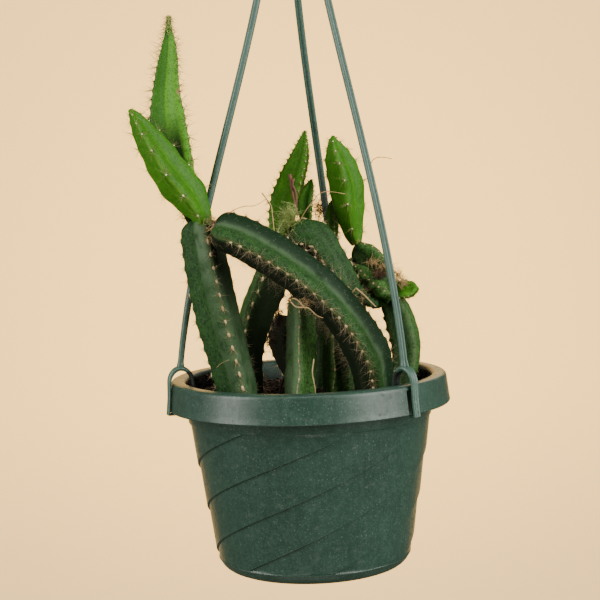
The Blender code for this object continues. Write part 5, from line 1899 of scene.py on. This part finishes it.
@dataclass(frozen=True)
class Studio:
    """The camera, the pale sweep of floor and wall, and soft light.

    Lengths are in metres in the whole object's frame, apart from the lens.
    """

    camera_place: Point = (0.0, -0.7922, -0.2236)
    camera_right: Point = (0.99927, 0.00032, -0.03815)
    camera_up: Point = (0.03797, 0.08751, 0.99544)
    lens: float = 89.74
    down_tilt: float = 0.0878
    target: Point = (0.0, 0.0, -0.30)
    floor_level: float = -0.80
    floor_start: float = 0.9
    wall_place: float = 2.4
    wall_top: float = 1.6
    sweep_radius: float = 1.0
    sweep_steps: int = 24
    half_width: float = 0.78
    paper: Colour = (0.30, 0.25, 0.15)
    glow: Colour = (2.87, 1.68, 0.45)
    glow_edge: Colour = (1.65, 1.00, 0.37)
    side_fade: tuple[float, float] = (0.10, 0.30)
    foot_fade: tuple[float, float] = (-0.05, -0.22)
    ambient_colour: Colour = (1.0, 0.80, 0.58)
    ambient: float = 0.20
    lamps: tuple[Lamp, ...] = (
        Lamp("key_left", -64.0, 20.0, 1.3, 0.6, 1.1, 21.0),
        Lamp("key_right", 57.0, 20.0, 1.3, 1.0, 1.1, 31.0),
        Lamp("top", 0.0, 52.0, 1.4, 0.8, 0.8, 5.5),
        Lamp("low", -8.0, -60.0, 1.2, 1.0, 0.6, 3.5),
        Lamp("back", 165.0, 30.0, 1.6, 0.9, 0.9, 2.5),
    )

    def build(self) -> None:
        """Makes the camera, the sweep, the world and the lamps."""
        self.camera()
        self.sweep()
        world = bpy.data.worlds.new("studio")
        bpy.context.scene.world = world
        world.use_nodes = True
        background = world.node_tree.nodes["Background"]
        background.inputs["Color"].default_value = (*self.ambient_colour, 1.0)
        background.inputs["Strength"].default_value = self.ambient
        for lamp in self.lamps:
            self.lamp(lamp)

    def camera(self) -> None:
        """Makes the camera and places it where the photograph was taken from."""
        data = bpy.data.cameras.new("camera")
        data.lens = self.lens
        data.clip_start = 0.01
        obj = bpy.data.objects.new("camera", data)
        bpy.context.scene.collection.objects.link(obj)
        right, up = Vector(self.camera_right), Vector(self.camera_up)
        back = right.cross(up)
        matrix = Matrix((right, up, back)).transposed().to_4x4()
        matrix.translation = Vector(self.camera_place)
        obj.matrix_world = matrix
        bpy.context.scene.camera = obj

    def sweep(self) -> None:
        """Models the floor that curves up into the wall."""
        start, radius = self.wall_place - self.sweep_radius, self.sweep_radius
        profile = [(self.floor_start, self.floor_level)]
        for turn in np.linspace(0.0, 0.5 * math.pi, self.sweep_steps):
            profile.append((start + radius * math.sin(turn),
                            self.floor_level + radius * (1.0 - math.cos(turn))))
        profile.append((self.wall_place, self.wall_top))
        bpy.ops.object.select_all(action="DESELECT")
        bpy.ops.mesh.primitive_grid_add(x_subdivisions=1, y_subdivisions=len(profile) - 1)
        obj = bpy.context.active_object
        obj.name = "studio_sweep"
        for row, (depth, level) in enumerate(profile):
            for column, side in enumerate((-self.half_width, self.half_width)):
                obj.data.vertices[2 * row + column].co = (side, depth, level)
        bpy.ops.object.shade_smooth()
        obj.data.materials.append(self.backdrop_paper())

    def backdrop_paper(self) -> bpy.types.Material:
        """Makes the sweep's glowing paper, whose painted light dims towards its edges."""
        dress = Dress("studio_paper")
        place = dress.node("ShaderNodeTexCoord", {}, {}, "Object")
        x, y, z = (dress.node("ShaderNodeSeparateXYZ", {}, {"Vector": place}, k) for k in range(3))
        depth = y - self.camera_place[1]
        across = x / depth
        up = (z - self.camera_place[2]) / depth + self.down_tilt
        radius = (across * across + up * up) ** 0.5
        share = radius.eased(*self.side_fade) * 0.5 + up.eased(*self.foot_fade) * 0.5
        # Painted light: the paper glows, brighter in the middle and dimmer towards the sides and
        # foot.
        glow = dress.mix(share, self.glow, self.glow_edge)
        plug(dress.tree, dress.shader.inputs["Emission Color"], glow)
        return dress.done(self.paper, 0.95, Emission_Strength=1.0)

    def lamp(self, lamp: Lamp) -> None:
        """Places one area light."""
        data = bpy.data.lights.new(lamp.name, "AREA")
        data.shape = "RECTANGLE"
        data.size, data.size_y = lamp.width, lamp.height
        data.energy = lamp.power
        data.color = lamp.colour
        obj = bpy.data.objects.new(lamp.name, data)
        bpy.context.scene.collection.objects.link(obj)
        azimuth, elevation = math.radians(lamp.azimuth), math.radians(lamp.elevation)
        away = Vector((math.sin(azimuth) * math.cos(elevation),
                       -math.cos(azimuth) * math.cos(elevation), math.sin(elevation)))
        obj.location = Vector(self.target) + away * lamp.distance
        obj.rotation_euler = away.to_track_quat("Z", "Y").to_euler()
        obj.visible_camera = False


def main() -> None:
    """Builds every piece round the frame."""
    logging.basicConfig(level=logging.INFO, format="%(message)s")
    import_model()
    Studio().build()
    pot = Pot()
    pot.build()
    Soil().build(pot)
    Hanger().build()
    pad = Pattern.lump(1, 0.08, 1)
    for seed, (name, stem) in enumerate(STEMS.items(), start=FIRST_STEM_SEED):
        StemForm(name, stem, seed).build(pad)
    LooseBits().build()


if __name__ == "__main__":
    main()
